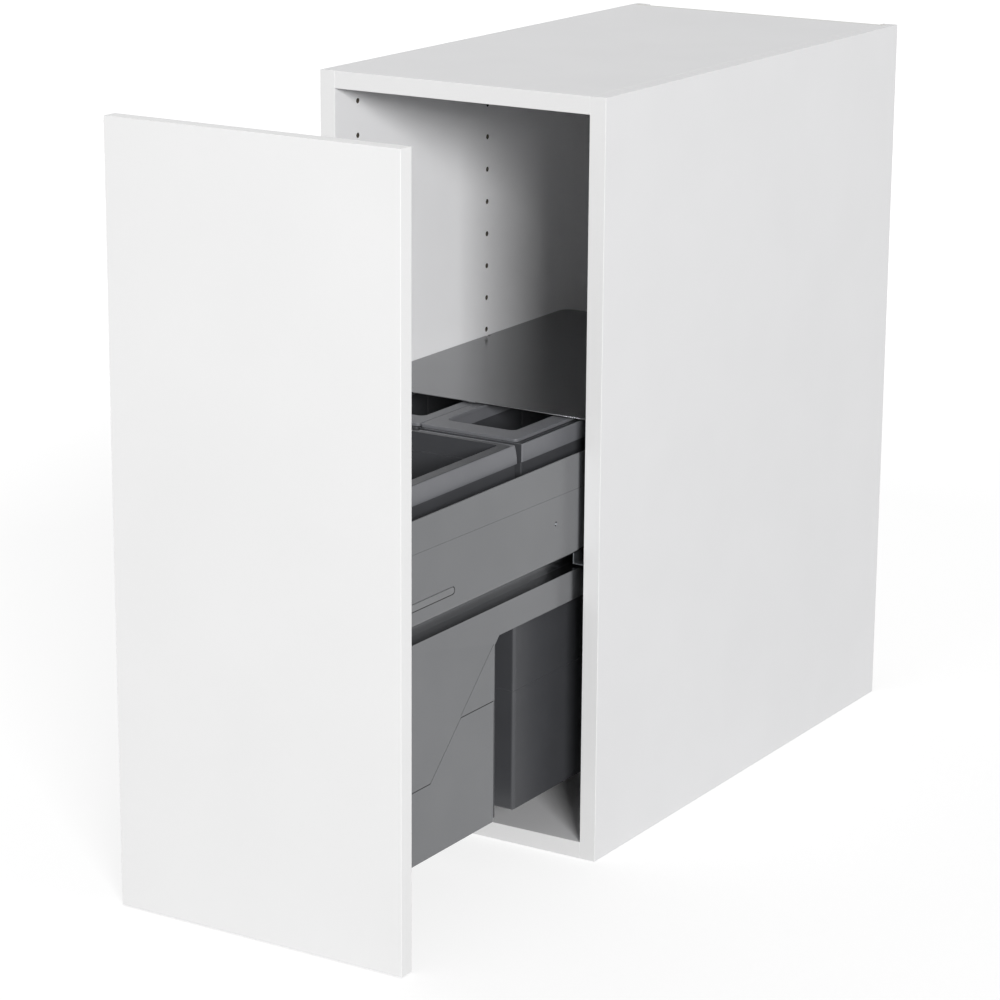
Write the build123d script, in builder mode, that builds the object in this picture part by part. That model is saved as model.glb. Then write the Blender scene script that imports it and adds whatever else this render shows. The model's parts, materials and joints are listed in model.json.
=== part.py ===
from build123d import *
import os

os.makedirs("parts", exist_ok=True)

# A 300 mm base cabinet with a pull-out for three waste bins. Sizes in millimetres.
# X runs across the cabinet, Y from the front to the back, Z up. The origin is the
# centre of the carcass underside. The pull-out stands open by pulled_out.

# Small round parts and bores repeat many times, so they are prisms with few sides.
small_round_sides = 8

# Carcass boards
carcass_width = 300
carcass_height = 704
carcass_depth = 580
board = 16
edge_band = 1
back_thickness = 8
back_setback = 9            # back panel to the rear edges of the sides
groove_depth = 8
groove_play = 0.2

# System holes in the sides
hole_pitch = 32
hole_diameter = 5
hole_depth = 13
front_row = 37              # from the carcass front
row_pitch_count = 7         # pitches from the front row to the rear row
rail_pitch_count = 9        # pitches from the underside up to the rail screws
holder_pitch_count = 12     # pitches from the underside up to the plate holders
top_clearance = 8           # least wood between the last hole and the top panel

# Board joints: dowels and cam fittings, measured from the ends of the top and bottom
dowel_diameter = 8
dowel_length = 30
dowel_in_side = 12
dowel_inset = 60
bolt_inset = 100
bolt_diameter = 7
bolt_bore_diameter = 8
bolt_thread_diameter = 5
bolt_in_side = 11
cam_diameter = 15
cam_height = 12.5
cam_distance = 34
cam_slot = 3
cam_slot_depth = 2
joint_play = 0.05

# Pull-out, front panel
pulled_out = 299
door_gap = 2                # front panel to the carcass when shut
front_thickness = 16
front_side_gap = 2
front_bottom_gap = 1
front_edge_radius = 1
bumper_diameter = 9
bumper_thickness = 1.6
bumper_inset = 8

# Drawer side: outer skin and inner channel
side_length = 450
side_gap = 3                # skin to the carcass side
side_lift = 6               # rail screw line to the underside of the skin
skin_height = 93
skin_sheet = 1
skin_hem = 7
skin_lip = 5
skin_bend = 3.5
channel_sheet = 1.2
channel_width = 16
channel_drop = 15           # top of the skin to the top of the channel
channel_lift = 4            # underside of the skin to the channel's edges
crease_width = 0.8
crease_depth = 0.25
crease_front_height = 64
crease_rear_height = 58
skin_hole_diameter = 4.5
skin_hole_height = 36
skin_hole_from_front = 257

# Cover cap and its slot in the skin
cap_length = 86
cap_height = 7.4
cap_from_front = 6
cap_lift = 14
cap_play = 0.3

# Telescopic rails
rail_sheet = 1.2
flange_height = 16
head_width = 8
head_rise = 12.2            # rail screw line to the top of the lower head
lip_play = 0.3
claw_play = 0.6
claw_slot = 5
stem_height = 10
rail_front_gap = 2
rail_end_margin = 20        # least distance from the last screw to the rail's end
middle_front_gap = 4
middle_shortfall = 28       # how much shorter the middle rail is than the cabinet rail
drawer_rail_rear_gap = 4    # drawer rail to the rear edge of the side
roller_diameter = 4
roller_length = 6
roller_play = 0.3
roller_pitch = 35
roller_count = 5
cage_thickness = 1.6
cage_wall = 0.8
cage_end = 9
lower_cage_start = 116      # cage fronts behind the carcass front when shut
upper_cage_start = 120
screw_head_diameter = 8.4
screw_head_height = 1.4
rail_screw_length = 11

# Brace under each drawer side
brace_sheet = 1.2
brace_inset = 3             # skin to brace, across
brace_top_gap = 10          # rail screw line to the top of the brace
brace_strip = 28
brace_rear_gap = 50         # brace to the rear edge of the side
brace_depth = 161           # front panel to the rear edge of the deep part
brace_bottom = 80
brace_upright = 68
seam_height = 192.5
seam_low_height = 147
seam_knee = 107
seam_low_knee = 59
seam_gap = 0.5
extension_jog = 1
corner_rise = 7.5
gusset_rise = 52
gusset_line = 0.6
gusset_line_depth = 0.2
gusset_line_end = 1.5       # seam and rear edge to the ends of the line
overlap = 12
rivet_diameter = 3
rivet_head_diameter = 5.5
rivet_head_height = 1
rivet_play = 0.05
rivet_drop = 8              # top of the brace to the rivets
rivet_inset = 70
rivet_count = 4

# Front bracket and front screws
bracket_sheet = 2
bracket_length = 58
bracket_margin = 5
bracket_play = 0.3
screw_diameter = 4
screw_length = 12
front_head_diameter = 7
front_head_height = 2
bracket_screw_inset = 8
brace_screw_inset = 10      # brace's inner edge to its screws
brace_screw_heights = (170, 250)
extension_screw_height = 112

# Back plate of the pull-out
back_plate_sheet = 1.2
back_plate_flange = 18
back_plate_lift = 4
back_plate_fold = 10
back_plate_bend = 2.5

# Bin frames
frame_wall = 2.5
frame_height = 35.3         # top of the channel to the rim
band_height = 18.8          # top of the channel to the lower edge of the rim face
band_step = 1.5
frame_tongue = 6            # how deep the frame reaches between the channels
frame_flange = 10
flange_thickness = 3
frame_corner = 3
front_frame_gap = 4         # front panel to the front frame
front_frame_length = 215
frame_gap = 6               # between the two frames
rear_frame_margin = 37      # rear frame to the rear edges of the sides
rear_frame_overhang = 1     # rear frame beyond the front frame, each side
front_frame_crown = 2.6     # how far the curved rim face leans in at its top
seat_play = 0.3
recess_half_width = 13
recess_front_reach = 5.7
recess_rear_reach = 5.5
recess_depth = 20
recess_corner = 5
recess_wall = 2

# Bins
bin_wall = 2
bin_bottom = 60
bin_corner = 3
bin_foot_chamfer = 3
front_rim_width = 10.7
front_rim_rear_width = 5
front_rim_thickness = 3
front_ledge_drop = 17
front_bin_margin = 14.7     # frame's outer face to the bin's body
front_bin_front = 16
front_bin_rear = 8
rear_plate_drop = 5.7       # rim down to the rear frame's plate
rear_upstand = 1.6
rear_bin_margin = 14
rear_bin_front = 12.5
rear_bin_rear = 9
rear_bin_apart = 7.8
rear_rim_width = 3.5
rear_rim_thickness = 2.2

# Bag rings on the rear bins
ring_step = 2.5
ring_play = 0.3
ring_collar = 12
ring_collar_wall = 2
ring_side_margin = 18
ring_middle_margin = 11.6
ring_front_margin = 25.5
ring_rear_margin = 14
ring_corner = 4

# Cover plate and its holders
plate_sheet = 1
plate_gap = 1.5             # bin rims to the plate
plate_front = 23
plate_length = 388
plate_side_gap = 0.5
plate_fold = 10
plate_corner = 12
plate_edge_radius = 0.4
plate_tab_width = 8
plate_tab_length = 2
holder_width = 10
holder_leg = 2
holder_reach = 6.5
holder_head_height = 10
holder_peg_length = 8
holder_foot = 5
notch_length = 4.7
notch_width = 3.4
prong_length = 3
prong_width = 3
fold_relief = 1.5

# Places that several pieces share
front_y = -carcass_depth / 2
inside_half = carcass_width / 2 - board
inside_top = carcass_height - board
back_y = front_y + carcass_depth - back_setback - back_thickness
pull_y = front_y - pulled_out
pull_face_y = pull_y - door_gap
middle_y = front_y - pulled_out / 2
rail_z = rail_pitch_count * hole_pitch
holder_z = holder_pitch_count * hole_pitch
row_y = (front_y + front_row, front_y + front_row + row_pitch_count * hole_pitch)
last_screw_count = int((side_length - front_row - rail_end_margin) // hole_pitch)
rail_screw_y = (*row_y, front_y + front_row + last_screw_count * hole_pitch)
skin_x = inside_half - side_gap
skin_z = rail_z + side_lift
skin_top = skin_z + skin_height
channel_x = skin_x - skin_sheet
channel_inner_x = channel_x - channel_width
channel_top = skin_top - channel_drop
rail_x = channel_x - channel_width / 2
flange_z = rail_z - flange_height / 2
head_z = rail_z + head_rise
claw_rise = roller_diameter + 2 * roller_play
middle_roof_z = head_z + claw_rise
upper_head_z = middle_roof_z + rail_sheet + stem_height + rail_sheet
drawer_roof_z = upper_head_z + claw_rise
brace_x = skin_x - brace_inset
brace_length = side_length - brace_rear_gap
brace_top = rail_z - brace_top_gap
rim_z = channel_top + frame_height
plate_z = rim_z + plate_gap


def area(x, y, radius=0):
    """A rectangle between two limits each way, in the sketch in hand."""
    with Locations(((x[0] + x[1]) / 2, (y[0] + y[1]) / 2)):
        if radius:
            RectangleRounded(abs(x[1] - x[0]), abs(y[1] - y[0]), radius)
        else:
            Rectangle(abs(x[1] - x[0]), abs(y[1] - y[0]))


def slab(x, y, z, radius=0, cut=0, mode=Mode.ADD):
    """An upright block between limits, with rounded or cut corners if asked."""
    with BuildSketch(Plane.XY.offset(z[0])) as outline:
        area(x, y, radius)
        if cut:
            chamfer(outline.vertices(), length=cut)
    extrude(outline.sketch, amount=z[1] - z[0], mode=mode)


def bar(x, diameter, places, mode=Mode.ADD):
    """Small round bars along X between two limits, at places given as (y, z)."""
    with BuildSketch(Plane.YZ.offset(x[0])) as ends:
        with Locations(*places):
            RegularPolygon(diameter / 2, small_round_sides)
    extrude(ends.sketch, amount=x[1] - x[0], mode=mode)


def stud(y, diameter, places, mode=Mode.ADD):
    """Small round bars along Y between two limits, at places given as (x, z)."""
    with BuildSketch(Plane.XZ.offset(-y[0])) as ends:
        with Locations(*places):
            RegularPolygon(diameter / 2, small_round_sides)
    extrude(ends.sketch, amount=y[0] - y[1], mode=mode)


def save(piece, name):
    """Labels a finished piece and writes its file."""
    piece.part.label = name
    export_step(piece.part, f"parts/{name}.step")


def save_pair(piece, name):
    """Writes a right-hand piece and its mirror image on the left."""
    save(piece, f"{name}_right")
    with BuildPart() as twin:
        add(piece.part)
        mirror(about=Plane.YZ, mode=Mode.REPLACE)
    save(twin, f"{name}_left")


# Carcass

side_y = (front_y + edge_band, front_y + carcass_depth)
board_y = (front_y + edge_band, back_y)
dowel_y = (front_y + dowel_inset, back_y - dowel_inset)
bolt_y = (front_y + bolt_inset, back_y - bolt_inset)
joint_z = (board / 2, carcass_height - board / 2)
last_hole_count = int((inside_top - top_clearance) // hole_pitch)

with BuildPart() as side_panel:
    slab((inside_half, carcass_width / 2), side_y, (0, carcass_height))
    groove_y = (back_y, back_y + back_thickness + groove_play)
    slab((inside_half, inside_half + groove_depth), groove_y, (0, carcass_height), mode=Mode.SUBTRACT)
    steps = range(holder_pitch_count, last_hole_count + 1)
    corner_steps = (steps[1], steps[-1])
    inner_holes = [(y, hole_pitch * step) for y in row_y for step in steps if step not in corner_steps]
    rail_holes = [(y, rail_z) for y in rail_screw_y]
    hole_x = (inside_half, inside_half + hole_depth)
    bar(hole_x, hole_diameter, inner_holes + rail_holes, Mode.SUBTRACT)
    with BuildSketch(Plane.YZ.offset(hole_x[0])):
        with Locations(*[(y, hole_pitch * step) for y in row_y for step in corner_steps]):
            Circle(hole_diameter / 2)
    extrude(amount=hole_depth, mode=Mode.SUBTRACT)
    dowel_holes = [(y, z) for y in dowel_y for z in joint_z]
    bar((inside_half, inside_half + dowel_in_side), dowel_diameter, dowel_holes, Mode.SUBTRACT)
    bolt_holes = [(y, z) for y in bolt_y for z in joint_z]
    bar((inside_half, inside_half + bolt_in_side), bolt_thread_diameter, bolt_holes, Mode.SUBTRACT)
save_pair(side_panel, "side_panel")


def cross_board(z, cam_z):
    """A board between the sides, with end bores and cam pockets open at height cam_z."""
    middle = z + board / 2
    slab((-inside_half, inside_half), board_y, (z, z + board))
    for side in (-1, 1):
        end = side * inside_half
        dowel_end = end - side * (dowel_length - dowel_in_side)
        bar((dowel_end, end), dowel_diameter, [(y, middle) for y in dowel_y], Mode.SUBTRACT)
        cam_end = end - side * cam_distance
        bar((cam_end, end), bolt_bore_diameter, [(y, middle) for y in bolt_y], Mode.SUBTRACT)
    cam_x = inside_half - cam_distance
    with BuildSketch(Plane.XY.offset(cam_z)) as pockets:
        with Locations(*[(x, y) for x in (-cam_x, cam_x) for y in bolt_y]):
            RegularPolygon(cam_diameter / 2 + joint_play, small_round_sides)
    extrude(pockets.sketch, amount=cam_height, mode=Mode.SUBTRACT)


with BuildPart() as bottom_panel:
    cross_board(0, 0)
save(bottom_panel, "bottom_panel")

with BuildPart() as top_panel:
    cross_board(inside_top, inside_top)
save(top_panel, "top_panel")

with BuildPart() as back_panel:
    back_half = inside_half + groove_depth - groove_play
    slab((-back_half, back_half), (back_y, back_y + back_thickness), (0, carcass_height))
save(back_panel, "back_panel")

with BuildPart() as edge_bands:
    band_y = (front_y, front_y + edge_band)
    for side in (-1, 1):
        slab((side * inside_half, side * carcass_width / 2), band_y, (0, carcass_height))
    band_half = inside_half - joint_play
    for z in (0, inside_top):
        slab((-band_half, band_half), band_y, (z, z + board))
save(edge_bands, "edge_bands")

with BuildPart() as dowels:
    for side in (-1, 1):
        outer = side * (inside_half + dowel_in_side - joint_play)
        inner = side * (inside_half + dowel_in_side - dowel_length + joint_play)
        bar((inner, outer), dowel_diameter - 2 * joint_play, dowel_holes)
save(dowels, "dowels")

with BuildPart() as cam_bolts:
    for side in (-1, 1):
        inner = side * (inside_half - cam_distance + cam_slot)
        outer = side * (inside_half + bolt_in_side - joint_play)
        bar((inner, side * inside_half), bolt_diameter, bolt_holes)
        bar((side * inside_half, outer), bolt_thread_diameter - 2 * joint_play, bolt_holes)
save(cam_bolts, "cam_bolts")

with BuildPart() as cam_locks:
    for z in (0, inside_top):
        for side in (-1, 1):
            cam_x = side * (inside_half - cam_distance)
            with BuildSketch(Plane.XY.offset(z)):
                with Locations(*[(cam_x, y) for y in bolt_y]):
                    RegularPolygon(cam_diameter / 2, small_round_sides)
            extrude(amount=cam_height)
            with BuildSketch(Plane.XY.offset(z)):
                with Locations(*[(cam_x, y) for y in bolt_y]):
                    Rectangle(cam_diameter / 2, cam_slot)
                    Rectangle(cam_slot, cam_diameter / 2)
            extrude(amount=cam_slot_depth, mode=Mode.SUBTRACT)
            pocket_x = (cam_x + side * (cam_slot - joint_play), cam_x + side * cam_diameter)
            bar(pocket_x, bolt_bore_diameter, [(y, z + board / 2) for y in bolt_y], Mode.SUBTRACT)
save(cam_locks, "cam_locks")

# Cover plate and holders

plate_y = (front_y + plate_front, front_y + plate_front + plate_length)
plate_half = inside_half - plate_side_gap
plate_top = plate_z + plate_sheet

with BuildPart() as cover_plate:
    with BuildSketch(Plane.XY.offset(plate_z)):
        area((-plate_half, plate_half), plate_y)
        fillet(vertices().group_by(Axis.Y)[-1], radius=plate_corner)
        area((-plate_tab_width / 2, plate_tab_width / 2), (plate_y[0] - plate_tab_length, plate_y[0]))
    extrude(amount=plate_sheet)
    fillet(edges().filter_by(Axis.X).group_by(Axis.Y)[1], radius=plate_edge_radius)
    for side in (-1, 1):
        fold_x = (side * (plate_half - plate_sheet), side * plate_half)
        fold_y = (plate_y[0] + plate_corner, plate_y[1] - plate_corner)
        slab(fold_x, fold_y, (plate_z - plate_fold, plate_z))
        for y in row_y:
            notch_y = (y - notch_width / 2, y + notch_width / 2)
            notch_x = (side * (inside_half - notch_length), side * inside_half)
            slab(notch_x, notch_y, (plate_z, plate_top), mode=Mode.SUBTRACT)
            relief = holder_width / 2 + fold_relief
            relief_z = (plate_z - plate_fold, plate_z)
            slab(notch_x, (y - relief, y + relief), relief_z, mode=Mode.SUBTRACT)
save(cover_plate, "cover_plate")

with BuildPart() as plate_holders:
    for side in (-1, 1):
        for y in row_y:
            holder_y = (y - holder_width / 2, y + holder_width / 2)
            leg_x = (side * (inside_half - holder_leg), side * inside_half)
            slab(leg_x, holder_y, (holder_z - holder_foot, plate_z))
            head_x = (side * (inside_half - holder_reach), side * inside_half)
            slab(head_x, holder_y, (plate_z - holder_head_height, plate_z))
            prong_x = side * (inside_half - notch_length + joint_play + prong_length / 2)
            prong_z = (plate_z, plate_top)
            prong_y = (y - prong_width / 2, y + prong_width / 2)
            slab((prong_x - prong_length / 2, prong_x + prong_length / 2), prong_y, prong_z)
            peg_x = (side * inside_half, side * (inside_half + holder_peg_length))
            bar(peg_x, hole_diameter - 2 * joint_play, [(y, holder_z)])
save(plate_holders, "plate_holders")

# Telescopic rails


def rail_head(top_z, bottom_z):
    """Section of a rail's upright with its flat head, up to top_z."""
    area((rail_x - rail_sheet / 2, rail_x + rail_sheet / 2), (bottom_z, top_z))
    area((rail_x - head_width / 2, rail_x + head_width / 2), (top_z - rail_sheet, top_z))


def rail_claw(head_top):
    """Section of a rail that clasps the head below it, whose top is at head_top."""
    roof = head_top + claw_rise
    lip = head_top - rail_sheet - lip_play
    inner = head_width / 2 + claw_play
    outer = inner + rail_sheet
    area((rail_x - outer, rail_x + outer), (lip - rail_sheet, roof + rail_sheet))
    with Locations((rail_x, (lip + roof) / 2)):
        Rectangle(2 * inner, roof - lip, mode=Mode.SUBTRACT)
    with Locations((rail_x, lip - rail_sheet / 2)):
        Rectangle(claw_slot, rail_sheet, mode=Mode.SUBTRACT)


rail_length = side_length - rail_front_gap
middle_length = rail_length - middle_shortfall
drawer_rail_length = side_length - door_gap - drawer_rail_rear_gap

with BuildPart() as cabinet_rail:
    with BuildSketch(Plane.XZ.offset(-front_y - rail_front_gap)):
        area((inside_half - rail_sheet, inside_half), (flange_z, flange_z + flange_height))
        area((rail_x - rail_sheet / 2, inside_half), (flange_z, flange_z + rail_sheet))
        rail_head(head_z, flange_z)
    extrude(amount=-rail_length)
    bar((inside_half - rail_sheet, inside_half), hole_diameter + 2 * joint_play, rail_holes, Mode.SUBTRACT)
save_pair(cabinet_rail, "cabinet_rail")

with BuildPart() as rail_screws:
    for side in (-1, 1):
        flange_face = side * (inside_half - rail_sheet)
        bar((flange_face, side * (inside_half - rail_sheet + rail_screw_length)),
            hole_diameter - 2 * joint_play, rail_holes)
        bar((flange_face - side * screw_head_height, flange_face), screw_head_diameter, rail_holes)
save(rail_screws, "rail_screws")

with BuildPart() as middle_rail:
    with BuildSketch(Plane.XZ.offset(-middle_y - middle_front_gap)):
        rail_claw(head_z)
        rail_head(upper_head_z, middle_roof_z)
    extrude(amount=-middle_length)
save_pair(middle_rail, "middle_rail")

with BuildPart() as drawer_rail:
    with BuildSketch(Plane.XZ.offset(-pull_y)):
        rail_claw(upper_head_z)
        hollow_half = channel_width / 2 - channel_sheet
        area((rail_x - hollow_half, rail_x + hollow_half), (drawer_roof_z, drawer_roof_z + rail_sheet))
    extrude(amount=-drawer_rail_length)
save_pair(drawer_rail, "drawer_rail")


def roller_places(start_y, axle_z):
    """Axle places (y, z) of one cage's rollers."""
    return [(start_y + cage_end + roller_pitch * number, axle_z) for number in range(roller_count)]


def save_cage(name, start_y, head_top):
    """Saves a roller cage on a rail head, and its rollers, for both sides."""
    axle_z = head_top + roller_play + roller_diameter / 2
    cage_y = (start_y, start_y + 2 * cage_end + roller_pitch * (roller_count - 1))
    cage_z = (axle_z - cage_thickness / 2, axle_z + cage_thickness / 2)
    places = roller_places(start_y, axle_z)
    pocket = roller_length / 2 + roller_play
    with BuildPart() as cage:
        slab((rail_x - pocket - cage_wall, rail_x + pocket + cage_wall), cage_y, cage_z)
        for y, z in places:
            reach = roller_diameter / 2 + roller_play
            slab((rail_x - pocket, rail_x + pocket), (y - reach, y + reach), cage_z, mode=Mode.SUBTRACT)
    save_pair(cage, f"{name}_cage")
    with BuildPart() as rollers:
        bar((rail_x - roller_length / 2, rail_x + roller_length / 2), roller_diameter, places)
    save_pair(rollers, f"{name}_rollers")


save_cage("lower", (front_y + middle_y) / 2 + lower_cage_start, head_z)
save_cage("upper", (pull_y + middle_y) / 2 + upper_cage_start, upper_head_z)

# Drawer sides

cap_place = (pull_face_y + cap_from_front + cap_length / 2, skin_z + cap_lift + cap_height / 2)

with BuildPart() as drawer_side:
    with BuildSketch(Plane.XZ.offset(-pull_face_y)):
        with BuildLine():
            lip_edge = (skin_x - skin_lip, skin_z)
            FilletPolyline(lip_edge, (skin_x, skin_z), (skin_x, skin_top), radius=skin_bend)
            offset(amount=skin_sheet, side=Side.LEFT)
        make_face()
        area((skin_x - 2 * skin_sheet, skin_x), (skin_top - skin_hem, skin_top))
        fillet(vertices().group_by(Axis.Y)[-1], radius=skin_sheet - joint_play)
    extrude(amount=-side_length)
    with BuildSketch(Plane.YZ.offset(skin_x - crease_depth)):
        with BuildLine():
            Polyline(
                (pull_face_y, skin_z + crease_front_height),
                (pull_face_y + side_length, skin_z + crease_rear_height),
                (pull_face_y + side_length, skin_z + crease_rear_height + crease_width),
                (pull_face_y, skin_z + crease_front_height + crease_width),
                close=True,
            )
        make_face()
    extrude(amount=crease_depth, mode=Mode.SUBTRACT)
    hole_place = (pull_face_y + skin_hole_from_front, skin_z + skin_hole_height)
    bar((channel_x, skin_x), skin_hole_diameter, [hole_place], Mode.SUBTRACT)
    with BuildSketch(Plane.YZ.offset(channel_x)):
        with Locations(cap_place):
            SlotOverall(cap_length, cap_height)
    extrude(amount=skin_sheet, mode=Mode.SUBTRACT)
save_pair(drawer_side, "drawer_side")

with BuildPart() as cover_cap:
    with BuildSketch(Plane.YZ.offset(channel_x)):
        with Locations(cap_place):
            SlotOverall(cap_length - 2 * cap_play, cap_height - 2 * cap_play)
    extrude(amount=skin_sheet)
save_pair(cover_cap, "cover_cap")

rivet_row_z = brace_top + brace_upright - rivet_drop
rivet_step = (brace_length - 2 * rivet_inset) / (rivet_count - 1)
brace_rivets = [(pull_face_y + rivet_inset + rivet_step * n, rivet_row_z) for n in range(rivet_count)]
channel_z = (skin_z + channel_lift, channel_top)
plate_end_y = pull_face_y + side_length
back_plate_z = (channel_z[0] + back_plate_lift, channel_z[1] - back_plate_lift)
back_rivet_z = (back_plate_z[0] + back_plate_fold, back_plate_z[1] - back_plate_fold)
back_rivets = [(plate_end_y - back_plate_flange / 2, z) for z in back_rivet_z]

with BuildPart() as side_channel:
    with BuildSketch(Plane.XZ.offset(-pull_face_y)):
        area((channel_inner_x, channel_x), channel_z)
        with Locations((rail_x, (channel_z[0] + channel_z[1] - channel_sheet) / 2)):
            hollow_width = channel_width - 2 * channel_sheet
            hollow_height = channel_z[1] - channel_sheet - channel_z[0]
            Rectangle(hollow_width, hollow_height, mode=Mode.SUBTRACT)
    extrude(amount=-side_length)
    bar((channel_inner_x, channel_inner_x + channel_sheet), rivet_diameter + 2 * rivet_play,
        brace_rivets + back_rivets, Mode.SUBTRACT)
save_pair(side_channel, "side_channel")

# Braces under the sides

deep_y = pull_face_y + brace_depth
brace_face = (brace_x - brace_sheet, brace_x)
leaf_face = (brace_x - 2 * brace_sheet, brace_x - brace_sheet)
brace_inner_x = channel_inner_x - brace_sheet
brace_screws = [(brace_inner_x + brace_screw_inset, z) for z in brace_screw_heights]
extension_screws = [(brace_inner_x + brace_screw_inset, extension_screw_height)]
flange_y = (pull_face_y, pull_face_y + brace_sheet)
strip_z = brace_top - brace_strip


def seam(drop, rear_y):
    """Corners (y, z) of the seam, from the front to the rear, lowered by drop."""
    return [
        (pull_face_y, seam_low_height - drop),
        (pull_face_y + seam_low_knee, seam_low_height - drop),
        (pull_face_y + seam_knee, seam_height - drop),
        (rear_y, seam_height - drop),
    ]


with BuildPart() as brace:
    with BuildSketch(Plane.YZ.offset(brace_face[0])):
        with BuildLine():
            Polyline(
                *seam(0, deep_y),
                (deep_y, strip_z - corner_rise),
                (deep_y + corner_rise, strip_z),
                (pull_face_y + brace_length, strip_z),
                (pull_face_y + brace_length, brace_top),
                (pull_face_y, brace_top),
                close=True,
            )
        make_face()
    extrude(amount=brace_sheet)
    length_y = (pull_face_y, pull_face_y + brace_length)
    slab((brace_inner_x, brace_x), length_y, (brace_top - brace_sheet, brace_top))
    slab((brace_inner_x, channel_inner_x), length_y, (brace_top - brace_sheet, brace_top + brace_upright))
    slab((brace_inner_x, brace_x), flange_y, (seam_low_height, brace_top))
    gusset_top = (deep_y - gusset_line_end, seam_height + gusset_rise)
    gusset_foot = (pull_face_y + seam_knee, seam_height + gusset_line_end)
    with BuildSketch(Plane.YZ.offset(brace_x - gusset_line_depth)):
        with BuildLine():
            Polyline(
                gusset_foot,
                gusset_top,
                (gusset_top[0] - gusset_line, gusset_top[1]),
                (gusset_foot[0] - gusset_line, gusset_foot[1]),
                close=True,
            )
        make_face()
    extrude(amount=gusset_line_depth, mode=Mode.SUBTRACT)
    bar((brace_inner_x, channel_inner_x), rivet_diameter + 2 * rivet_play, brace_rivets, Mode.SUBTRACT)
    stud(flange_y, screw_diameter + 2 * joint_play, brace_screws, Mode.SUBTRACT)
save_pair(brace, "brace")

with BuildPart() as brace_extension:
    rear_y = deep_y - extension_jog
    with BuildSketch(Plane.YZ.offset(brace_face[0])):
        with BuildLine():
            foot = [(rear_y, brace_bottom), (pull_face_y, brace_bottom)]
            Polyline(*seam(seam_gap, rear_y), *foot, close=True)
        make_face()
    extrude(amount=brace_sheet)
    with BuildSketch(Plane.YZ.offset(leaf_face[0])):
        with BuildLine():
            Polyline(
                *[(y + brace_sheet, z) for y, z in seam(-overlap, rear_y - 2 * brace_sheet)],
                *[(y + brace_sheet, z) for y, z in reversed(seam(overlap, rear_y - 2 * brace_sheet))],
                close=True,
            )
        make_face()
    extrude(amount=brace_sheet)
    extension_z = (brace_bottom, seam_low_height - seam_gap)
    slab((brace_inner_x, brace_x), flange_y, extension_z)
    stud(flange_y, screw_diameter + 2 * joint_play, extension_screws, Mode.SUBTRACT)
save_pair(brace_extension, "brace_extension")

with BuildPart() as back_plate:
    half = channel_inner_x
    with BuildSketch(Plane.XY.offset(back_plate_z[0])):
        area((-half, half), (plate_end_y - back_plate_flange, plate_end_y))
        fillet(vertices().group_by(Axis.Y)[-1], radius=back_plate_bend)
        inner_half = half - back_plate_sheet
        with Locations((0, plate_end_y - back_plate_sheet - back_plate_flange / 2)):
            Rectangle(2 * inner_half, back_plate_flange, mode=Mode.SUBTRACT)
    extrude(amount=back_plate_z[1] - back_plate_z[0])
    fold_half = half - back_plate_bend
    for z in (back_plate_z[0], back_plate_z[1] - back_plate_sheet):
        fold_y = (plate_end_y - back_plate_fold, plate_end_y - back_plate_sheet)
        slab((-fold_half, fold_half), fold_y, (z, z + back_plate_sheet))
    for side in (-1, 1):
        wall_x = (side * (half - back_plate_sheet), side * half)
        bar(wall_x, rivet_diameter + 2 * rivet_play, back_rivets, Mode.SUBTRACT)
save(back_plate, "back_plate")

with BuildPart() as rivets:
    for side in (-1, 1):
        for places, sheet in ((brace_rivets, brace_sheet), (back_rivets, back_plate_sheet)):
            head_x = side * (channel_inner_x - sheet)
            tail_x = side * (channel_inner_x + channel_sheet)
            bar((head_x - side * rivet_head_height, head_x), rivet_head_diameter, places)
            bar((head_x, tail_x), rivet_diameter, places)
save(rivets, "rivets")

# Front panel and what holds it

bracket_z = (drawer_roof_z + rail_sheet + bracket_margin, channel_top - channel_sheet - bracket_margin)
bracket_x = (channel_inner_x + channel_sheet + bracket_play, channel_x - channel_sheet - bracket_play)
bracket_screw_z = (bracket_z[0] + bracket_screw_inset, bracket_z[1] - bracket_screw_inset)
bracket_screws = [(rail_x, z) for z in bracket_screw_z]
bracket_y = (pull_face_y, pull_face_y + bracket_sheet)

with BuildPart() as front_bracket:
    slab(bracket_x, bracket_y, bracket_z)
    tongue_x = (bracket_x[0], bracket_x[0] + bracket_sheet)
    tongue_z = (bracket_z[0] + bracket_sheet, bracket_z[1] - bracket_sheet)
    slab(tongue_x, (pull_face_y, pull_face_y + bracket_length), tongue_z)
    fillet(edges().filter_by(Axis.X).group_by(Axis.Y)[-1], radius=bracket_margin)
    stud(bracket_y, screw_diameter + 2 * joint_play, bracket_screws, Mode.SUBTRACT)
save_pair(front_bracket, "front_bracket")


def both_sides(places):
    """The places (x, z) given for the right, and their mirror images."""
    return [(side * x, z) for side in (-1, 1) for x, z in places]


sheet_screws = both_sides(brace_screws + extension_screws)
thick_screws = both_sides(bracket_screws)

with BuildPart() as front_screws:
    for places, sheet in ((sheet_screws, brace_sheet), (thick_screws, bracket_sheet)):
        seat = pull_face_y + sheet
        stud((seat - screw_length, seat), screw_diameter, places)
        stud((seat, seat + front_head_height), front_head_diameter, places)
save(front_screws, "front_screws")

front_x = carcass_width / 2 - front_side_gap
front_z = (front_bottom_gap, carcass_height)

with BuildPart() as front_panel:
    slab((-front_x, front_x), (pull_face_y - front_thickness, pull_face_y), front_z)
    fillet(edges().group_by(Axis.Y)[0], radius=front_edge_radius)
    pilot_y = (pull_face_y - screw_length, pull_face_y)
    stud(pilot_y, screw_diameter + 2 * joint_play, sheet_screws + thick_screws, Mode.SUBTRACT)
save(front_panel, "front_panel")

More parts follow.
